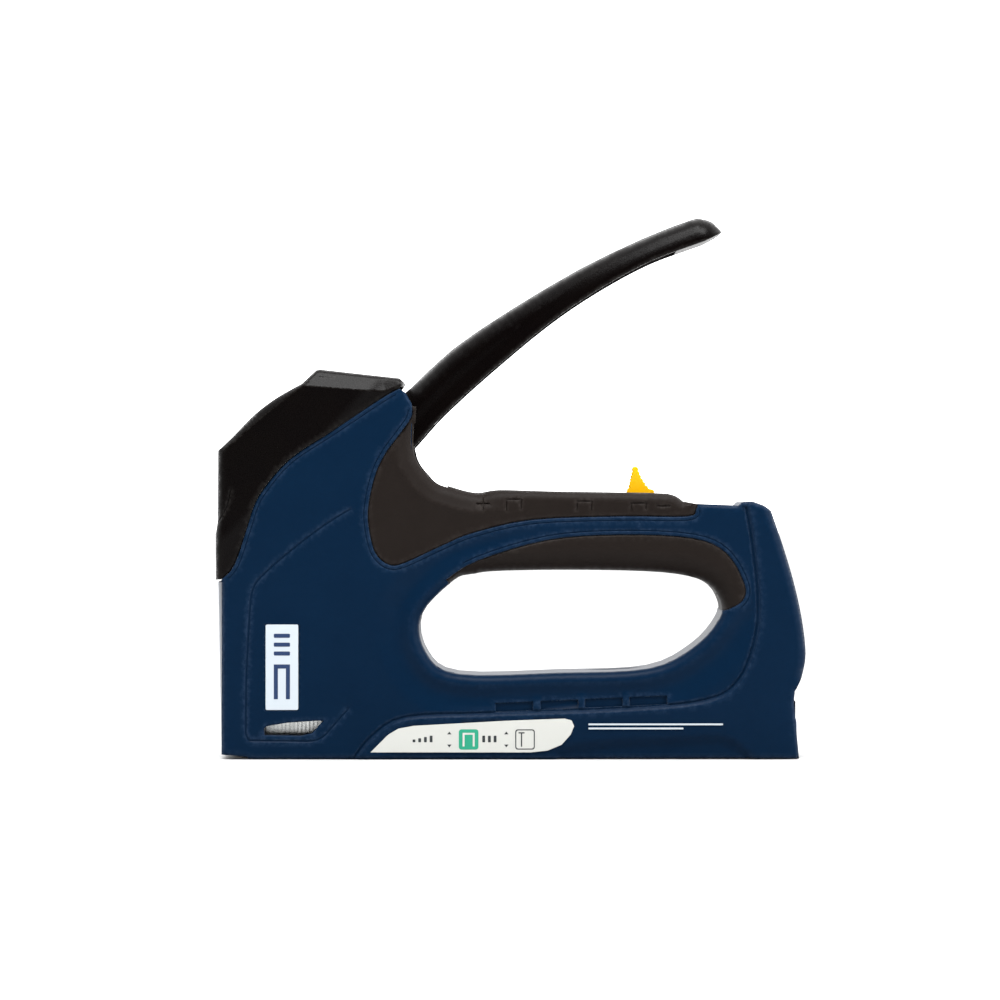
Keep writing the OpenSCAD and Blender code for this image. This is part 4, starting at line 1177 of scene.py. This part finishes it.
@dataclass
class Magazine:
    """The pull-out magazine: rail, end piece, staples, pusher, springs and catch."""

    corner_r: float = 0.9
    turns: int = 20

    def staples(self) -> None:
        """The stick of staples: one bent staple, copied at the wire's pitch."""
        low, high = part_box("staple_stick")
        pitch, wire = 1.27, 0.7
        count = round((high.x - low.x) / MM / pitch)
        half, foot, crown, r = high.y / MM, low.z / MM, high.z / MM, self.corner_r
        turn = np.linspace(0, math.pi / 2, 4)
        outer = [(half - r + r * math.sin(a), crown - r + r * math.cos(a)) for a in turn]
        inner = [(half - r + (r - wire) * math.sin(a), crown - r + (r - wire) * math.cos(a)) for a in turn]
        right = [(half, foot), (half - wire / 2, foot), (half - wire, foot + 0.5)]
        line = outer + right + inner[::-1]
        line = line + [(-y, z) for y, z in line[::-1]]
        staple = prism("staple_row", line, 0.04, pitch - 0.04, axis="X")
        move_mesh(staple, (low.x, 0, 0))
        apply_modifier(staple, "BEVEL", width=0.1 * MM, segments=1, limit_method="ANGLE",
                       angle_limit=math.radians(50))
        apply_modifier(staple, "ARRAY", count=count, use_relative_offset=False, use_constant_offset=True,
                       constant_offset_displace=(pitch * MM, 0, 0))
        shade(staple)
        place_piece(staple, "magazine", Finishes.staple_wire, "staple_stick")

    def pusher_coil(self) -> None:
        """The long compression spring on the guide rod, wound by the screw modifier."""
        low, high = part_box("pusher_spring")
        axis_z = (low.z + high.z) / 2
        wire = 0.3 * MM
        coil_r = (high.z - low.z) / 2 - wire
        bpy.ops.object.select_all(action="DESELECT")
        bpy.ops.mesh.primitive_circle_add(vertices=8, radius=wire, location=(0, 0, 0))
        coil = bpy.context.object
        coil.name = "pusher_coil_spring"
        for v in coil.data.vertices:
            v.co = (v.co.x + wire, 0, v.co.y + coil_r)
        length = high.x - low.x - 2 * wire
        apply_modifier(coil, "SCREW", axis="X", angle=2 * math.pi * self.turns, screw_offset=length,
                       steps=14 * self.turns, render_steps=14 * self.turns, use_merge_vertices=True)
        move_mesh(coil, (low.x, 0, axis_z))
        select_only(coil)
        bpy.ops.object.mode_set(mode="EDIT")
        bpy.ops.mesh.select_all(action="SELECT")
        bpy.ops.mesh.fill_holes(sides=0)
        bpy.ops.mesh.normals_make_consistent(inside=False)
        bpy.ops.object.mode_set(mode="OBJECT")
        shade(coil, math.radians(60))
        place_piece(coil, "magazine", Finishes.tempered_steel, "pusher_spring")

    def build(self) -> None:
        """Makes the staples and the spring, and eases the edges of the rest."""
        self.staples()
        self.pusher_coil()
        eased("magazine_rail", "magazine_rail_channel", 0.15, "magazine", Finishes.zinc_plate)
        eased("magazine_end", "moulded_magazine_end", 0.6, "magazine", Finishes.black_nylon)
        eased("guide_rod", "pusher_guide_rod", 0.2, "magazine", Finishes.ground_steel)
        eased("pusher", "staple_pusher_block", 0.2, "staple_pusher", Finishes.zinc_plate)
        eased("catch_button", "blue_catch_button", 0.5, "catch", Finishes.blue_abs)


def dress_mechanism() -> None:
    """Gives every CAD node the finish of its record slot, for those that stay in view."""
    by_slot = {f.slot: f for f in vars(Finishes).values() if isinstance(f, Finish)}
    by_slot["pale_label"] = Finishes.label_film
    by_slot["white_badge"] = Finishes.badge_film
    slots = {s["node"]: s["material_slot"] for s in frame["record"]["subparts"]}
    for name, node in frame["nodes"].items():
        node.data.materials.clear()
        node.data.materials.append(by_slot[slots[name]].material())


# ---------------------------------------------------------------------------------------------
# Camera, light and floor
# ---------------------------------------------------------------------------------------------


@dataclass
class Studio:
    """A white sweep, soft light and a long lens square to the tool's side."""

    lens: float = 150.0
    sensor: float = 36.0
    view_width: float = 0.32
    aim: tuple[float, float, float] = (-0.0034, 0.0, 0.0818)

    def camera(self) -> None:
        """Makes the camera, square to the side of the tool."""
        data = bpy.data.cameras.new("camera")
        data.lens = self.lens
        data.sensor_width = self.sensor
        obj = bpy.data.objects.new("camera", data)
        bpy.context.scene.collection.objects.link(obj)
        distance = self.view_width * self.lens / self.sensor
        obj.location = (self.aim[0], -distance, self.aim[2])
        obj.rotation_euler = (math.radians(90), 0, 0)
        bpy.context.scene.camera = obj

    def floor(self) -> None:
        """Makes the pale floor."""
        bpy.ops.object.select_all(action="DESELECT")
        bpy.ops.mesh.primitive_circle_add(vertices=96, radius=9, fill_type="NGON", location=(0, 0, -0.0002))
        obj = bpy.context.object
        obj.name = "floor"
        made = bpy.data.materials.new("white_paper_floor")
        made.use_nodes = True
        shader = made.node_tree.nodes["Principled BSDF"]
        shader.inputs["Base Color"].default_value = linear("#c4c4c4")
        shader.inputs["Roughness"].default_value = 0.9
        obj.data.materials.append(made)

    def surround(self) -> None:
        """Makes the sky: a bright wall behind the tool that fades to a dim room before it."""
        world = bpy.data.worlds.new("surround")
        world.use_nodes = True
        tree = world.node_tree
        tree.nodes.clear()
        toward = add_node(tree, "ShaderNodeTexCoord").outputs["Generated"]
        split = add_node(tree, "ShaderNodeSeparateXYZ", {"Vector": toward})
        level = add_node(tree, "ShaderNodeMapRange", {"Value": split.outputs["Y"]},
                         interpolation_type="SMOOTHSTEP", From_Min=-0.75, From_Max=0.2,
                         To_Min=0.05, To_Max=2.8)
        sky = add_node(tree, "ShaderNodeBackground", {"Strength": level.outputs[0]},
                       Color=linear("#ffffff"))
        add_node(tree, "ShaderNodeOutputWorld", {"Surface": sky.outputs[0]})
        bpy.context.scene.world = world
        bpy.context.scene.view_settings.view_transform = "Standard"

    def lights(self) -> None:
        """Makes the soft boxes."""
        for name, place, size, power in (
                ("top_box", (0.0, -0.42, 1.0), 0.45, 13), ("left_box", (-1.3, -0.5, 0.9), 0.6, 3),
                ("right_box", (1.25, -0.75, 0.6), 0.9, 12)):
            data = bpy.data.lights.new(name, "AREA")
            data.size = size
            data.energy = power
            obj = bpy.data.objects.new(name, data)
            bpy.context.scene.collection.objects.link(obj)
            obj.location = place
            obj.rotation_euler = (Vector((0, 0, 0.08)) - Vector(place)).to_track_quat("-Z", "Y").to_euler()

    def build(self) -> None:
        """Makes the camera, the floor, the surround and the lights."""
        self.camera()
        self.floor()
        self.surround()
        self.lights()


def main() -> None:
    """Builds every piece in order."""
    logging.basicConfig(level=logging.INFO, format="%(message)s")
    Studio().build()
    dress_mechanism()
    for assembly in (Housing(), Markings(), SqueezeLever(), Adjuster(), Magazine()):
        LOG.info("building %s", type(assembly).__name__)
        assembly.build()


if __name__ == "__main__":
    main()
